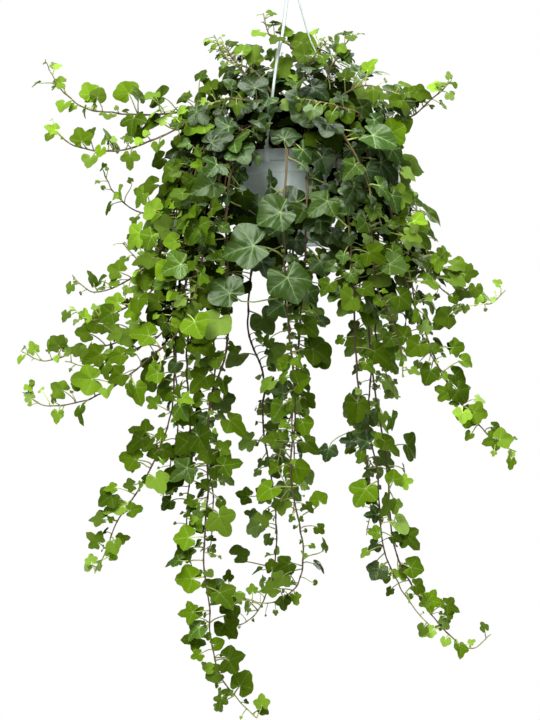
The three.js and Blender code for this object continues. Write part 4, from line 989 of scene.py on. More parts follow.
BUSH_MIDDLE = (-5, -25)         # where the oldest leaves are, as seen
BUSH_REACH = 185
TRAIL_REACH = 230
TRAIL_BELOW = -200
INNER_REACH = 105               # leaves nearer to the pot's axis are older still and so darker, partly real ageing and partly painted shade
COMMON_AGE = 0.44
SMALL_WIDTH = 24
SMALL_YOUNG, LARGE_YOUNG = 0.22, 0.06               # the share of young ones among small and large leaves


def age_at(point, along, width, rng):
    """Old and dark round the pot, younger towards the sides and the strands' tips."""
    right, up = seen(point)
    aside, above = right - BUSH_MIDDLE[0], up - BUSH_MIDDLE[1]
    dark = exp(-(aside / BUSH_REACH) ** 4 - (above / BUSH_REACH) ** 4)
    # Older and so darker colour near the pot's axis: partly real ageing, partly painted shade of the bush's
    # inside
    inside = 0.3 * dark if hypot(point.x, point.y) < INNER_REACH else 0
    trailing = 0.16 * exp(-(aside / TRAIL_REACH) ** 4) if up < TRAIL_BELOW else 0
    age = COMMON_AGE + max(0.44 * dark, trailing) + inside + rng.uniform(-0.2, 0.2)
    young = SMALL_YOUNG if width < SMALL_WIDTH else LARGE_YOUNG
    if rng.random() < young * (1 - 0.5 * dark):
        age *= 0.35
    return max(0, min(1, age)) * min(1, (1 - along) * 5 + 0.35)


def stem_path(nodes):
    """A vine's smooth stem in short steps, with the way along it to each."""
    path = curve_at(nodes, np.linspace(0, 1, 40 * len(nodes)))
    return path, np.concatenate([[0], np.cumsum(np.linalg.norm(np.diff(path, axis=0), axis=1))])


def front_leaf(place, clock, width, age, yaw, pitch):
    """A leaf set where the photograph shows it, with its stalk from the nearest stem behind it."""
    facing = Vector((sin(radians(yaw)), -cos(radians(yaw)), 0))
    normal = facing * cos(radians(pitch)) + UP * sin(radians(pitch))
    tip = Vector((sin(radians(clock)), 0, cos(radians(clock))))
    notch = Vector(place)
    behind = np.array(notch - tip * (0.45 * width + 8) + Vector((0, 14, 0)))
    vine = int(np.argmin([nearest(path, behind)[1] for path, _ in paths]))
    path = paths[vine][0]
    foot = Vector(path[nearest(path, behind)[0]])
    return vine, Leaf(foot, notch, normal, tip, width, LEAF_FOLD, PLACED_DROOP, age)


# Millimetres from leaf to leaf where a vine hangs below the bush or stands out of it
LEAF_SPACINGS = {
    "right_long": 42, "right_companion": 42, "long_left": 14, "left_companion": 10, "lower_left": 24,
    "top_left_high": 26, "top_left_low": 26, "left_whip": 40, "left_fan_high": 20, "left_fan_middle": 20,
    "left_fan_far": 20, "left_fan_low": 20, "left_fan_lowest": 20, "top_right": 20, "right_fan_long": 20,
    "right_fan_inner": 14, "right_fan_middle": 22, "right_whip": 22,
}
STRAND_SPACING = 12             # on the vines that aren't named above
BUSH_SPACING = 9
LEFT_SPACING = 6.3              # in the bush's left part, which is fuller
LEFT_OF = -70
STRANDS_BELOW = -250
TRAILING_LEFT = -130
SIDES_FROM = 190                # the vines stand out of the bush this far from its middle, at MIDDLE
MIDDLE = 5
CROWN_WIDTHS = [0.3, 0.5, 0.7, 0.85, 1.0, 1.1]
STRAND_WIDTHS = [0.25, 0.35, 0.5, 0.65, 0.8, 1.0]
SIDE_WIDTHS = [0.25, 0.3, 0.4, 0.5, 0.6, 0.8]
FULL_STRANDS = ["long_left", "left_companion"]
FILL_TRIES = 6
FILL_START = 1.6                # in steps between the stem's nodes
FILL_WIDTH = 41
FILL_NARROWER = 9
FILL_UNTIL = 0.3                # the share of a stem where the added leaves are widest
LOOK_AHEAD = 4
BACK_LIMIT = 236                # the deepest that a leaf may stand
MOST_LEAVES = 6000
DARKEST, SHADE_RANGE = 0.48, 1.2
PLACED_SHADE = 0.95
LARGE_PLACED = 55
OLD, YOUNG = 0.9, 0.2
TUCKED = 0.35
SLIMMED_FROM, SLIMMED, SLIMMED_LESS = 30, 0.8, 0.9  # carried leaves are drawn a little slimmer
DEPTH_STEPS = [0, 5, -5, 10, -10, -15, -20, -25, -30]

rng = Random(7)
stems = bend_clear([stem_nodes(route) for route in ROUTES],
                   [strap_line(azimuth) for azimuth in STRAP_AZIMUTHS])
paths = [stem_path(nodes) for nodes in stems]
foliage = Foliage(MOST_LEAVES)
vines = [{"leaves": [], "styles": []} for _ in stems]


def keep(vine, leaf, unless_crossing=True):
    """Adds a leaf to a vine, unless it would cross one that stands already.

    One that would stand too far back takes its turn, but is left out.
    """
    leaf.shade = DARKEST + SHADE_RANGE * rng.random() ** 2
    style = style_of(leaf, rng)
    if not foliage.add(leaf, style, unless_crossing):
        return False
    if foliage.high[len(foliage.trees) - 1][1] < BACK_LIMIT:
        vines[vine]["leaves"].append(leaf)
        vines[vine]["styles"].append(style)
    return True


def keep_carried(vine, nodes):
    """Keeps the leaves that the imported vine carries."""
    name = ROUTES[vine][0]
    leaves = carried_leaves(vine, [Vector(p) for p in nodes])
    placed = [row[1] - FIRST_LEAF for row in PLACED_LEAVES if row[0] == name]
    for i, leaf in enumerate(leaves):
        leaf.age = age_at(leaf.notch, i / len(leaves), leaf.width, rng)
        if i in placed:
            leaf.age = max(leaf.age, OLD) if leaf.width > LARGE_PLACED else YOUNG
            show(leaf)
        elif (name, i) in TUCKED_LEAVES:
            leaf.width *= TUCKED
        elif not name.startswith("crown") and leaf.width > SLIMMED_FROM:
            leaf.width *= SLIMMED_LESS if name in FULL_STRANDS else SLIMMED
        keep(vine, leaf, unless_crossing=False)
        if i in placed:
            leaf.shade = PLACED_SHADE


def keep_in_front(right, back, up, clock, width, age, yaw=0, pitch=10):
    """Keeps a leaf that the photograph shows, at the first depth where it crosses none."""
    for step in DEPTH_STEPS:
        vine, leaf = front_leaf((right, back + step, up), clock, width, age, yaw, pitch)
        if keep(vine, leaf):
            show(leaf)
            return


def widths_at(name, foot):
    """How wide the leaves are where they stand, as shares of the full width."""
    trailing = foot.z < STRANDS_BELOW or foot.x < TRAILING_LEFT
    if trailing and name not in FULL_STRANDS:
        return STRAND_WIDTHS
    if foot.x < LEFT_OF and foot.z > STRANDS_BELOW:
        return SIDE_WIDTHS
    return CROWN_WIDTHS


def spacing_at(name, foot):
    """How far it is along a stem from one leaf to the next."""
    if foot.z < STRANDS_BELOW or abs(foot.x - MIDDLE) > SIDES_FROM:
        return LEAF_SPACINGS.get(name, STRAND_SPACING)
    return LEFT_SPACING if foot.x < LEFT_OF else BUSH_SPACING


def fill_vine(vine):
    """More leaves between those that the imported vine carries."""
    name = ROUTES[vine][0]
    path, reached = paths[vine]
    shares = np.linspace(0, 1, len(path))
    reach = np.interp(FILL_START / (len(stems[vine]) - 1), shares, reached)
    k = 0
    while reach < reached[-1]:
        along = reach / reached[-1]
        foot, ahead = [Vector([np.interp(at, reached, places) for places in path.T])
                       for at in (reach, reach + LOOK_AHEAD)]
        way = ahead - foot if reach + LOOK_AHEAD < reached[-1] else Vector(path[-1] - path[-2])
        way.normalize()
        grown = FILL_WIDTH - FILL_NARROWER * max(0, along - FILL_UNTIL) / (1 - FILL_UNTIL)
        widths = widths_at(name, foot)
        for attempt in range(FILL_TRIES):
            width = grown * rng.choice(widths) * (1 - 0.06 * attempt) * min(1, 0.3 + 5 * (1 - along))
            leaf = posed_leaf(vine, foot, way, (k + attempt // 3) % 2 == 0, width, 1.9,
                              lambda purpose: rng.uniform(-1, 1))
            leaf.notch += (leaf.notch - leaf.foot) * rng.uniform(0, 0.6)
            leaf.tip += UP * rng.choice([0, 0, 0.3, 0.8])
            leaf.fold += rng.choice([-0.12, 0, 0.05, 0.3])
            leaf.droop += rng.uniform(-0.14, 0.2)
            leaf.age = age_at(leaf.notch, along, width, rng)
            if not blocks_a_view(leaf) and keep(vine, leaf):
                break
        k += 1
        reach += spacing_at(name, foot)


for vine, nodes in enumerate(stems):
    keep_carried(vine, nodes)
for across, down, back, *rest in BUSH_LEAVES:
    right, up = from_photo(across, down, back)
    keep_in_front(right, back, up, *rest)
for zoom, back, rows in STRAND_LEAVES:
    for row in rows:
        keep_in_front(*from_zoom(zoom, back, *row))
for vine in range(len(stems)):
    fill_vine(vine)


# Shade painted into the leaves' colours, the deeper the more leaves stand outside them
COVER_DEPTH = 3.7
COVER_CONE = 0.72               # the cosine of the angle within which a leaf covers another
COVER_NEAREST, COVER_FARTHEST = 5, 110
LIGHT_GAIN = 4.0
INSIDE_SHADE = 0.06             # the share of its colour that a leaf keeps where the painted shade is deepest
PAINTED_SIDE_LIGHT = 0.3                 # leaves far to the sides are painted lighter by this
SIDE_FROM, SIDE_OVER = 120, 80


def paint_inside_shade():
    """Paints shade into the leaves' colours: the more leaves stand outside a leaf, the darker it is coloured,
    and those far to the sides are painted lighter.
    """
    leaves = [leaf for row in vines for leaf in row["leaves"]]
    middles = np.array([leaf.on_midrib(0.25) for leaf in leaves])
    widths = np.array([leaf.width for leaf in leaves])
    for leaf, middle in zip(leaves, middles):
        outward = Vector((middle[0], middle[1], 0.4 * max(0, middle[2]))).normalized()
        away = middles - middle
        reach = np.linalg.norm(away, axis=1) + 1e-6
        in_reach = (reach > COVER_NEAREST) & (reach < COVER_FARTHEST)
        light = 0
        for way in [outward, Vector((0, 1 if middle[1] > 0 else -1, 0)), UP]:
            covering = (away @ np.array(way) > COVER_CONE * reach) & in_reach
            cover = 0.28 * (widths[covering] ** 2 / (reach[covering] ** 2 + 300)).sum()
            light += exp(-COVER_DEPTH * cover) / 3
        aside = min(1, max(0, (abs(middle[0]) - SIDE_FROM) / SIDE_OVER))
        leaf.shade *= INSIDE_SHADE + (1 - INSIDE_SHADE) * min(1, LIGHT_GAIN * light)
        # Painted light: leaves far to the sides are coloured lighter
        leaf.shade *= 1 + PAINTED_SIDE_LIGHT * aside


paint_inside_shade()


# Materials

class Shader:
    """A material and the nodes added to it."""

    def __init__(self, name, **fixed):
        self.material = bpy.data.materials.new(name)
        self.material.use_nodes = True
        self.tree = self.material.node_tree
        self.surface = self.tree.nodes["Principled BSDF"]
        for name, value in fixed.items():
            socket = name.replace("_", " ").title().replace("Ior", "IOR")
            self.surface.inputs[socket].default_value = value

    def node(self, kind, inputs, output=0, **settings):
        node = self.tree.nodes.new("ShaderNode" + kind)
        for name, value in settings.items():
            setattr(node, name, value)
        for socket, value in inputs.items():
            if isinstance(value, bpy.types.NodeSocket):
                self.tree.links.new(value, node.inputs[socket])
            else:
                node.inputs[socket].default_value = value
        return node.outputs[output]

    def math(self, operation, *values):
        return self.node("Math", dict(enumerate(values)), operation=operation)

    def between(self, value, low, high, to_low=0.0, to_high=1.0):
        """Eased from to_low at low to to_high at high."""
        inputs = {"Value": value, "From Min": low, "From Max": high, "To Min": to_low, "To Max": to_high}
        return self.node("MapRange", inputs, interpolation_type="SMOOTHSTEP")

    def mix(self, share, one, other):
        """Between two colours. A plain one is given as red, green and blue."""
        one, other = [(*colour, 1) if isinstance(colour, tuple) else colour for colour in (one, other)]
        return self.node("Mix", {0: share, 6: one, 7: other}, output=2, data_type="RGBA")

    def ramp(self, value, stops):
        node = self.tree.nodes.new("ShaderNodeValToRGB")
        self.tree.links.new(value, node.inputs[0])
        elements = node.color_ramp.elements
        while len(elements) < len(stops):
            elements.new(0.5)
        for element, (place, colour) in zip(elements, stops):
            element.position = place
            element.color = (*colour, 1)
        return node.outputs[0]

    def noise(self, scale, detail=3.0):
        place = self.node("TexCoord", {}, output=3)
        return self.node("TexNoise", {"Vector": place, "Scale": scale, "Detail": detail})

    def attribute(self, name):
        return self.node("Attribute", {}, output=2, attribute_name=name)

    def shaded(self, colour):
        """A colour made darker or lighter by each piece's shade attribute: for leaves, their random tone
        times the shade painted into them inside the bush.
        """
        return self.node("HueSaturation", {"Value": self.attribute("shade"), "Color": colour})

    def bump(self, height, distance, strength):
        self.wear("Normal", self.node("Bump", {"Height": height, "Distance": distance, "Strength": strength}))

    def wear(self, socket, value):
        self.tree.links.new(value, self.surface.inputs[socket])


LEAF_COLOURS = [
    (0.0, (0.28, 0.42, 0.11)),
    (0.25, (0.165, 0.28, 0.03)),
    (0.5, (0.09, 0.17, 0.002)),
    (0.75, (0.048, 0.10, 0.006)),
    (1.0, (0.022, 0.053, 0.009)),
]
MOTTLE_COLOUR = (0.10, 0.17, 0.015)
YOUNG_VEIN, OLD_VEIN = (0.28, 0.41, 0.04), (0.24, 0.36, 0.15)
NOTCH_COLOUR = (0.33, 0.44, 0.06)
BRANCH_GAP = 0.085              # between the side veins, in leaf widths
GLOSSY_AGE = 0.7                # older leaves have a waxy sheen
INNER_SHADE = 0.4               # leaves whose painted shade is darker than this take the shaded copy of the leaf material, which shines least and has a painted yellow-green cast
SOFT_SHEEN = (0.8, 1.0, 0.15, 1)
WAXY_SHEEN = (0.86, 1.0, 0.8, 1)


def vein_pattern(shader):
    """How far a point is from the notch, from its vein, in the side veins' rhythm, and in a vein."""
    uv = shader.node("UVMap", {}, uv_map="surface")
    start = (-UV_NOTCH[0] / UV_SCALE, -UV_NOTCH[1] / UV_SCALE, 0)
    scale = (1 / UV_SCALE, 1 / UV_SCALE, 1)
    place = shader.node("Mapping", {"Vector": uv, "Location": start, "Scale": scale})
    across = shader.node("SeparateXYZ", {0: place}, output=0)
    ahead = shader.node("SeparateXYZ", {0: place}, output=1)
    radius = shader.node("VectorMath", {0: place}, output=1, operation="LENGTH")
    uneven = shader.math("MULTIPLY_ADD", shader.noise(45, 1), 0.16, -0.08)
    angle = shader.math("ADD", shader.math("ARCTAN2", across, ahead), uneven)
    from_vein = shader.math("WRAP", angle, radians(SECTOR), -radians(SECTOR))
    off = shader.math("ABSOLUTE", shader.math("MULTIPLY", radius, shader.math("SINE", from_vein)))
    along = shader.math("MULTIPLY", radius, shader.math("COSINE", from_vein))
    slim = shader.math("MULTIPLY_ADD", radius, -0.014, 0.02)
    main = shader.between(shader.math("DIVIDE", off, slim), 1.0, 0.2)
    ladder = shader.math("ADD", shader.math("MULTIPLY_ADD", off, -1.2, along), uneven)
    branches = shader.math("PINGPONG", ladder, BRANCH_GAP)
    fading = shader.between(off, 0.2, 0.02, 0.0, 0.7)
    side = shader.math("MULTIPLY", shader.between(branches, 0.015, 0.002), fading)
    return radius, off, branches, shader.math("MAXIMUM", main, side)


def leaf_shader(name, roughness, specular, sheen, cast=(0, NOTCH_COLOUR), vein_relief=-0.6):
    """A blade coloured by its age, with paler veins. The cast is a last tint and its share."""
    shader = Shader(name, specular_ior_level=specular, specular_tint=sheen)
    radius, off, branches, veins = vein_pattern(shader)
    age = shader.attribute("age")
    mottle = shader.noise(60)
    colour = shader.ramp(age, LEAF_COLOURS)
    colour = shader.mix(shader.between(mottle, 0.42, 0.72, 0.0, 0.1), colour, MOTTLE_COLOUR)
    vein_colour = shader.mix(age, YOUNG_VEIN, OLD_VEIN)
    near_veins = shader.between(off, 0.06, 0.0, 0.0, 0.1)
    colour = shader.mix(shader.math("MULTIPLY", near_veins, age), colour, vein_colour)
    shown = shader.between(age, 0.2, 0.85, 0.2, 0.52)
    colour = shader.mix(shader.math("MULTIPLY", veins, shown), colour, vein_colour)
    colour = shader.mix(shader.between(radius, 0.06, 0.0, 0.0, 0.4), colour, NOTCH_COLOUR)
    share, tint = cast
    if share:
        colour = shader.mix(share, colour, tint)
    shader.wear("Base Color", shader.shaded(colour))
    shader.wear("Roughness", shader.math("MULTIPLY_ADD", mottle, 0.14, roughness - 0.07))
    relief = shader.math("MULTIPLY_ADD", branches, 2.5, shader.math("MULTIPLY", veins, vein_relief))
    shader.bump(relief, 0.0008, 0.5)
    return shader.material


BARK_COLOURS = [
    (0.0, (0.42, 0.54, 0.13)),
    (0.3, (0.36, 0.40, 0.12)),
    (0.6, (0.21, 0.155, 0.068)),
    (1.0, (0.10, 0.055, 0.035)),
]
BARK_GRAIN = (0.09, 0.06, 0.03)


def stem_shader():
    shader = Shader("stem_bark", roughness=0.62, specular_ior_level=0.25)
    colour = shader.ramp(shader.attribute("age"), BARK_COLOURS)
    grain = shader.noise(350, 4)
    colour = shader.mix(shader.between(grain, 0.35, 0.7, 0.0, 0.4), colour, BARK_GRAIN)
    shader.wear("Base Color", shader.shaded(colour))
    shader.bump(grain, 0.0006, 0.5)
    return shader.material


# In the order of GREEN, UNDERSIDE, BARK, WAXY and PAINTED_SHADE_FINISH
VINE_MATERIALS = [
    leaf_shader("leaf_green", 0.5, 0.1, SOFT_SHEEN),
    leaf_shader("leaf_underside", 0.6, 0.1, SOFT_SHEEN, (0.4, (0.21, 0.32, 0.08)), vein_relief=0.6),
    stem_shader(),
    leaf_shader("leaf_waxy", 0.32, 0.32, WAXY_SHEEN),
    # A shaded copy of the leaf material for leaves in deep painted shade: almost no shine, and a yellow-green
    # cast painted for light that comes through other leaves
    leaf_shader("leaf_painted_shade", 0.85, 0.02, SOFT_SHEEN, (0.6, (0.055, 0.10, 0.001))),
]


# Pieces

SHARP_ANGLE = 35


def finish_piece(bm, name, nodes, materials, sharp=None):
    """Makes a piece of a body in the plant's measures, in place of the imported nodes."""
    mesh = mesh_of(bm, name)
    mesh.transform(TO_FRAME)
    for material in materials:
        mesh.materials.append(material)
    if sharp:
        mesh.shade_smooth()
        mesh.set_sharp_from_angle(angle=radians(sharp))
    piece = put(name, mesh)
    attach(piece, "root")
    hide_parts(*nodes)


STEM_SIDES, STEM_RING, KINK_LENGTH = 7, 5, 15
KINK = 1.1                      # how far a stem leaves its smooth line
KNOT = 1.3                      # how much thicker it is where a leaf grows
WOODY_HEIGHTS = (-220, -60)     # bark turns from green to brown between these
STALK_SIDES, STALK_RINGS = 4, 6
STALK_RADIUS, STALK_PER_WIDTH = 0.72, 0.012         # wider leaves have thicker stalks
STALK_FOOT, STALK_END = 1.25, 0.85                  # a stalk's taper
FINE_WIDTH, PLAIN_WIDTH = 46, 22                    # narrower leaves have fewer faces


def add_stem(bm, nodes, leaves):
    """Adds a vine's stem, and returns its line."""
    length = np.linalg.norm(np.diff(nodes, axis=0), axis=1).sum()
    rings = max(8, int(length / STEM_RING))
    share = np.linspace(0, 1, rings)
    line = curve_at(nodes, share)
    kinks = max(4, int(length / KINK_LENGTH))
    bends = np.array([[rng.uniform(-KINK, KINK) for _ in range(3)] for _ in range(kinks)])
    line[2:-2] += np.stack([np.interp(share, np.linspace(0, 1, kinks), way) for way in bends.T], 1)[2:-2]
    radii = STEM_FOOT + (STEM_TIP - STEM_FOOT) * share
    radii[list({nearest(line, leaf.foot)[0] for leaf in leaves})] *= KNOT
    blank = blank_tube(STEM_SIDES, rings)
    woody = np.interp(line[:, 2], WOODY_HEIGHTS, [rng.uniform(0.8, 1), 0.6])
    woody = np.minimum(woody, np.maximum(0.05, 5 * (1 - share)))
    bm.from_mesh(blank.shaped(tube_points(blank, line, radii), woody[blank.ring], 0.9))
    return line


def add_leaf(bm, leaf, style, line):
    """Adds a leaf's blade, and its stalk from the nearest point of the stem's line."""
    detail = "small"
    if leaf.width > PLAIN_WIDTH:
        detail = "fine" if leaf.width > FINE_WIDTH else "plain"
    blank = BLANK_LEAVES[detail]
    points, uv = blade_points(blank, leaf, style)
    finish = blank.waxy if leaf.age > GLOSSY_AGE else blank.green
    # Leaves deep in painted shade take the shaded copy of the leaf material
    if leaf.shade < INNER_SHADE:
        finish = blank.inner
    blank.mesh.polygons.foreach_set("material_index", finish)
    bm.from_mesh(blank.shaped(points, leaf.age, leaf.shade, uv))
    blank = blank_tube(STALK_SIDES, STALK_RINGS)
    stalk = petiole_line(leaf, STALK_RINGS)
    stalk[0] = Vector(line[nearest(line, leaf.foot)[0]])
    thick = STALK_RADIUS + STALK_PER_WIDTH * leaf.width
    points = tube_points(blank, stalk, np.linspace(STALK_FOOT * thick, STALK_END * thick, STALK_RINGS))
    ages = np.linspace(0.3, 0.02, STALK_RINGS)
    # The stalk is coloured with its leaf's painted shade, but never darker than 0.75
    bm.from_mesh(blank.shaped(points, ages[blank.ring], max(0.75, leaf.shade)))


def vine_piece(vine, leaves, styles):
    name = ROUTES[vine][0]
    bm = bmesh.new()
    line = add_stem(bm, stems[vine], leaves)
    for leaf, style in zip(leaves, styles):
        add_leaf(bm, leaf, style, line)
    finish_piece(bm, name + "_spray", ["vine_" + name], VINE_MATERIALS)


for vine, row in enumerate(vines):
    vine_piece(vine, **row)


# Pot

def plastic_shader(name, colour, speck, roughness):
    """Recycled plastic: finely speckled, and a little darker in faint clouds."""
    shader = Shader(name, roughness=roughness)
    grain = shader.noise(900, 2)
    clouds = shader.between(shader.noise(14, 3), 0.4, 0.75, 0.0, 0.25)
    base = shader.mix(shader.between(grain, 0.35, 0.7), colour, speck)
    shader.wear("Base Color", shader.mix(clouds, base, tuple(c * 0.8 for c in colour)))
    shader.bump(grain, 0.0002, 0.4)
    return shader.material


def spun(profile, steps):
    """A closed body turned about the pot's axis from its profile of radius and height."""
    bm = bmesh.new()
    corners = [bm.verts.new((r, 0, z)) for r, z in profile]
    edges = [bm.edges.new(pair) for pair in zip(corners, corners[1:])]
    bmesh.ops.spin(bm, geom=corners + edges, axis=(0, 0, 1), angle=2 * pi, steps=steps, use_merge=True)
    bmesh.ops.remove_doubles(bm, verts=bm.verts, dist=1e-3)
    bmesh.ops.recalc_face_normals(bm, faces=bm.faces)
    return bm


def cut(bm, tool):
    """The first body less the second."""
    body, cutter = put("body", mesh_of(bm, "body")), put("cutter", mesh_of(tool, "cutter"))
    modifier = body.modifiers.new("cut", "BOOLEAN")
    modifier.operation = "DIFFERENCE"
    modifier.solver = "EXACT"
    modifier.object = cutter
    shape = body.evaluated_get(bpy.context.evaluated_depsgraph_get())
    result = bmesh.new()
    result.from_mesh(shape.to_mesh())
    shape.to_mesh_clear()
    for spent in [body, cutter]:
        bpy.data.objects.remove(spent)
    return result


POT_FLOOR = -POT_HEIGHT + 5
INNER_WALL = [(RIM_RADIUS - RIM_WALL, -8), (78.5, -38), (BASE_RADIUS - 2.2, POT_FLOOR + 3)]
FOOT_WIDTH, FOOT_HEIGHT = 7, 3
DRAINS = 6
DRAIN_RADIUS = 4
DRAIN_CIRCLE = 38
DRAIN_LENGTH = 12
POT_STEPS, HUB_STEPS, SOIL_STEPS = 128, 48, 96      # round the axis


def pot_piece():
    """The pot with its rim band, step, foot ring and drain holes."""
    upper = RIM_RADIUS - BAND_STEP
    shell = spun([
        (0, -POT_HEIGHT + FOOT_HEIGHT),
        (BASE_RADIUS - FOOT_WIDTH - 1, -POT_HEIGHT + FOOT_HEIGHT),
        (BASE_RADIUS - FOOT_WIDTH, -POT_HEIGHT),
        (BASE_RADIUS - 0.8, -POT_HEIGHT),
        (BASE_RADIUS, -POT_HEIGHT + 0.8),
        (upper - 2.7, -WALL_LINE - 0.6),
        (upper - 1.6, -WALL_LINE),
        (upper, -BAND_HEIGHT - 2.2),
        (upper - 1.2, -BAND_HEIGHT - 1.4),
        (upper - 1.2, -BAND_HEIGHT),
        (RIM_RADIUS - 0.4, -BAND_HEIGHT),
        (RIM_RADIUS, -BAND_HEIGHT + 0.5),
        (RIM_RADIUS, -1.2),
        (RIM_RADIUS - 0.3, -0.4),
        (RIM_RADIUS - 1.0, 0),
        (RIM_RADIUS - RIM_WALL + 0.3, 0),
        (RIM_RADIUS - RIM_WALL, -0.5),
        *INNER_WALL,
        (BASE_RADIUS - 5, POT_FLOOR),
        (0, POT_FLOOR),
    ], POT_STEPS)
    drains = bmesh.new()
    for i in range(DRAINS):
        at = radial(360 / DRAINS * i, DRAIN_CIRCLE, -POT_HEIGHT + FOOT_HEIGHT)
        bmesh.ops.create_cone(drains, cap_ends=True, segments=24, radius1=DRAIN_RADIUS, radius2=DRAIN_RADIUS,
                              depth=DRAIN_LENGTH, matrix=Matrix.Translation(at))
    material = plastic_shader("pot_plastic", (0.57, 0.67, 0.64), (0.68, 0.77, 0.74), 0.6)
    finish_piece(cut(shell, drains), "nursery_pot", ["pot"], [material], SHARP_ANGLE)


# Hanger: three straps from a hub, each with a clip over the rim, and a hook on top

CLIP_GAP = 0.3
CLIP_TOP = 14
CLIP_LIP = 2.7                  # the lip over the rim
CLIP_TONGUE = 2                 # the tongue inside the rim, thick and deep
CLIP_REACH = -5
CLIP_TOOTH = 3.2                # how far the clip reaches below the rim band
CLIP_ROOM = 0.8                 # between the tongue and the pot's wall
STRAP_RINGS, STRAP_SIDES, HOOK_RINGS, HOOK_SIDES = 48, 24, 72, 16
STRAP_CORNER = 0.35             # 1 makes the section round, and 0 sharp
HOOK_ANGLES = range(-25, 206, 23)
HUB_HEIGHT = RIM_DROP - HUB_DROP
HUB_PROFILE = [(0, -14), (5.4, -14), (6.8, -13.2), (7.5, -10), (8.4, -5), (8.5, -4), (8.2, -2.6),
               (6.8, 3.2), (6.2, 4.3), (5, 4.9), (3.9, 5.4), (3.5, 6.4), (3.4, 8), (0, 8)]


def strap(azimuth):
    """A flat strap with rounded edges, from its clip up to the hub."""
    line = curve_at(strap_line(azimuth), np.linspace(0, 1, STRAP_RINGS))
    blank = blank_tube(STRAP_SIDES, STRAP_RINGS)
    turned = blank.flat[:, :2]
    section = np.sign(turned) * np.abs(turned) ** STRAP_CORNER * [STRAP_WIDTH / 2, STRAP_THICKNESS / 2]
    points = tube_points(blank, line, np.ones(STRAP_RINGS), section, radial(azimuth + 90, 1))
    return blank.shaped(points, 0, 1)


def clip(azimuth):
    """A strap's clip, which grips the rim band from above and below."""
    face = RIM_RADIUS + CLIP_GAP
    back = face + STRAP_THICKNESS
    inside = RIM_RADIUS - RIM_WALL - CLIP_ROOM
    under = RIM_RADIUS - BAND_STEP + CLIP_GAP
    below_band = -BAND_HEIGHT - CLIP_GAP
    foot = -BAND_HEIGHT - CLIP_TOOTH
    outline = [(back, foot), (back, CLIP_TOP), (face, CLIP_TOP), (face, CLIP_LIP),
               (inside - CLIP_TONGUE, CLIP_LIP), (inside - CLIP_TONGUE, CLIP_REACH),
               (inside, CLIP_REACH), (inside, CLIP_GAP), (face, CLIP_GAP), (face, below_band),
               (under, below_band), (under, foot)]
    bm = bmesh.new()
    side = bm.faces.new([bm.verts.new((-CLIP_WIDTH / 2, -r, z)) for r, z in outline])
    extrude(bm, [side], (CLIP_WIDTH, 0, 0))
    bmesh.ops.bevel(bm, geom=bm.edges[:], offset=0.4, offset_type="OFFSET", segments=2, profile=0.5,
                    affect="EDGES", material=-1)
    bmesh.ops.rotate(bm, verts=bm.verts, matrix=Matrix.Rotation(radians(azimuth), 3, "Z"))
    return bm


def hook():
    """The rod that rises from the hub and curls over to a rounded tip."""
    eye, rod = RIM_DROP - HOOK_INNER, HOOK_INNER + HOOK_ROD
    path = [[0, 0, HUB_HEIGHT + 2], [0, 0, HUB_HEIGHT + 12]]
    path += [[rod * cos(radians(a)), 0, eye + rod * sin(radians(a))] for a in HOOK_ANGLES]
    line = curve_at(np.array(path, float), np.linspace(0, 1, HOOK_RINGS))
    radii = np.full(HOOK_RINGS, HOOK_ROD)
    radii[-4:] = HOOK_ROD * np.array([0.96, 0.86, 0.66, 0.36])
    blank = blank_tube(HOOK_SIDES, HOOK_RINGS)
    return blank.shaped(tube_points(blank, line, radii), 0, 1)


def hanger_piece():
    bm = spun(HUB_PROFILE, HUB_STEPS)
    bmesh.ops.translate(bm, verts=bm.verts, vec=(0, 0, HUB_HEIGHT))
    bm.from_mesh(hook())
    for azimuth in STRAP_AZIMUTHS:
        bm.from_mesh(strap(azimuth))
        mesh = mesh_of(clip(azimuth), "clip")
        bm.from_mesh(mesh)
        bpy.data.meshes.remove(mesh)
    for face in bm.faces:
        face.material_index = 0
    material = plastic_shader("hanger_plastic", (0.54, 0.63, 0.59), (0.65, 0.73, 0.69), 0.5)
    finish_piece(bm, "strap_hanger", ["hanger"], [material], SHARP_ANGLE)


# Soil: an uneven top with loose crumbs on it

SOIL_COLOURS = [(0.3, (0.02, 0.012, 0.008)), (0.55, (0.06, 0.038, 0.023)), (0.75, (0.13, 0.09, 0.06))]
MOIST_COLOUR = (0.035, 0.022, 0.015)
SOIL_SKIN = 0.4                 # the gap to the pot's wall
SOIL_MOUND = 2                  # how far the soil's middle stands above its depth
SOIL_SLOPE = 4
SOIL_LUMPS = [(1.2, 7), (0.9, 2.5)]                 # how high and how wide they are
CRUMBS = 300
CRUMB_SIZES = (0.7, 2.4)


def soil_shader():
    shader = Shader("potting_soil", roughness=0.95, specular_ior_level=0.2)
    crumbs = shader.noise(260, 5)
    moist = shader.between(shader.noise(40, 2), 0.4, 0.65, 0.0, 0.5)
    shader.wear("Base Color", shader.mix(moist, shader.ramp(crumbs, SOIL_COLOURS), MOIST_COLOUR))
    shader.bump(crumbs, 0.002, 0.9)
    return shader.material


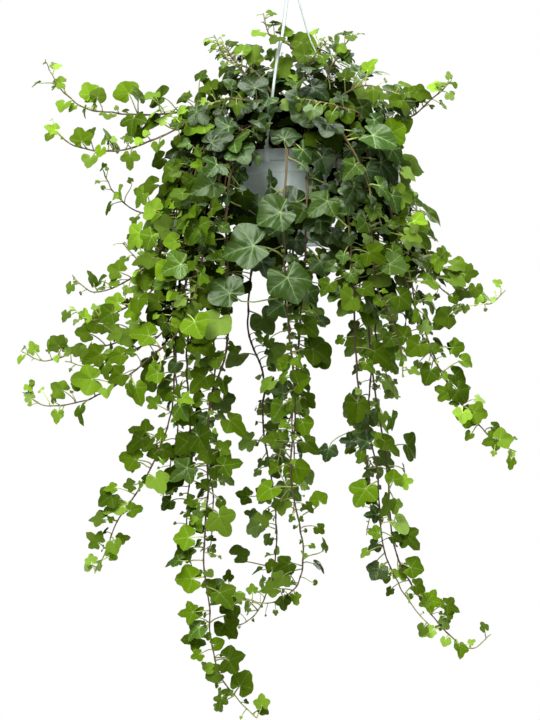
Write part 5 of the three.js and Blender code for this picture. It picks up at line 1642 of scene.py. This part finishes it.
def soil_piece():
    """The soil in the pot: a low mound with an uneven top and loose crumbs on it."""
    edge = -SOIL_DEPTH - 3
    below = [POT_FLOOR + 3.5, -38, edge]
    radii, heights = np.array(INNER_WALL[::-1]).T
    walls = np.interp(below, heights, radii) - SOIL_SKIN
    tops = [(r, -SOIL_DEPTH + SOIL_MOUND - SOIL_SLOPE * r / RIM_RADIUS)
            for r in np.linspace(walls[-1] - 3, 0, 27)]
    bm = spun([(0, below[0]), *zip(walls, below), *tops], SOIL_STEPS)
    for corner in bm.verts:
        if corner.co.z > edge + 0.5:
            corner.co.z += sum(height * noise.noise(corner.co / size) for height, size in SOIL_LUMPS)
    crumb_rng = Random(11)
    for _ in range(CRUMBS):
        size = crumb_rng.uniform(*CRUMB_SIZES)
        reach = (RIM_RADIUS - 10) * crumb_rng.random() ** 0.5
        top = -SOIL_DEPTH + SOIL_MOUND + 0.4 - SOIL_SLOPE * reach / RIM_RADIUS
        at = Matrix.Translation(radial(crumb_rng.uniform(0, 360), reach, top))
        turn = Matrix.Rotation(crumb_rng.uniform(0, pi), 4, "Z")
        turn @= Matrix.Rotation(crumb_rng.uniform(0, pi), 4, "X")
        shape = Matrix.Diagonal((1, crumb_rng.uniform(0.5, 0.9), crumb_rng.uniform(0.4, 0.8), 1))
        bmesh.ops.create_icosphere(bm, subdivisions=1, radius=size, matrix=at @ turn @ shape)
    finish_piece(bm, "soil_surface", ["soil"], [soil_shader()], 50)


pot_piece()
hanger_piece()
soil_piece()


# Stage

LIGHTS = [                      # name, place, size and power
    ("key", (-1.1, -2.1, 1.9), 1.7, 128),
    ("fill", (1.4, -2.8, 0.4), 1.6, 24),
    ("top", (0.2, -0.2, 2.1), 1.6, 80),
    ("back", (1.2, 2.2, 0.7), 1.8, 60),
]
LIT_POINT = Vector((0, 0, -0.6))
FLOOR_RADIUS = 2
FLOOR_LEVEL = -1.62
ROOM_LIGHT = 0.07


def add_camera():
    camera = put("camera", bpy.data.cameras.new("camera"))
    camera.location = CAMERA_AT
    camera.rotation_euler = (pi / 2, 0, 0)
    camera.data.sensor_fit = "VERTICAL"
    camera.data.sensor_height = SENSOR
    camera.data.lens = SENSOR * -CAMERA_AT.y / SEEN_HEIGHT
    bpy.context.scene.camera = camera


def add_lights():
    for name, at, size, power in LIGHTS:
        light = put(name, bpy.data.lights.new(name, "AREA"))
        light.data.size = size
        light.data.energy = power
        light.location = at
        light.rotation_euler = (LIT_POINT - light.location).to_track_quat("-Z", "Y").to_euler()


def add_room():
    """A room that is seen white and gives a little even light."""
    world = bpy.data.worlds.new("studio")
    world.use_nodes = True
    tree = world.node_tree
    soft = tree.nodes["Background"]
    white = tree.nodes.new("ShaderNodeBackground")
    for background, strength in [(soft, ROOM_LIGHT), (white, 1)]:
        background.inputs["Color"].default_value = (1, 1, 1, 1)
        background.inputs["Strength"].default_value = strength
    rays = tree.nodes.new("ShaderNodeLightPath")
    pick = tree.nodes.new("ShaderNodeMixShader")
    for i, socket in enumerate([rays.outputs["Is Camera Ray"], soft.outputs[0], white.outputs[0]]):
        tree.links.new(socket, pick.inputs[i])
    tree.links.new(pick.outputs[0], tree.nodes["World Output"].inputs[0])
    bpy.context.scene.world = world
    bpy.context.scene.view_settings.view_transform = "Standard"


def add_floor():
    bm = bmesh.new()
    bmesh.ops.create_circle(bm, cap_ends=True, segments=96, radius=FLOOR_RADIUS)
    bmesh.ops.translate(bm, verts=bm.verts, vec=(0, 0, FLOOR_LEVEL))
    floor = put("floor", mesh_of(bm, "floor"))
    floor.data.materials.append(Shader("floor", roughness=0.9, base_color=(0.9, 0.9, 0.9, 1)).material)


add_camera()
add_lights()
add_room()
add_floor()
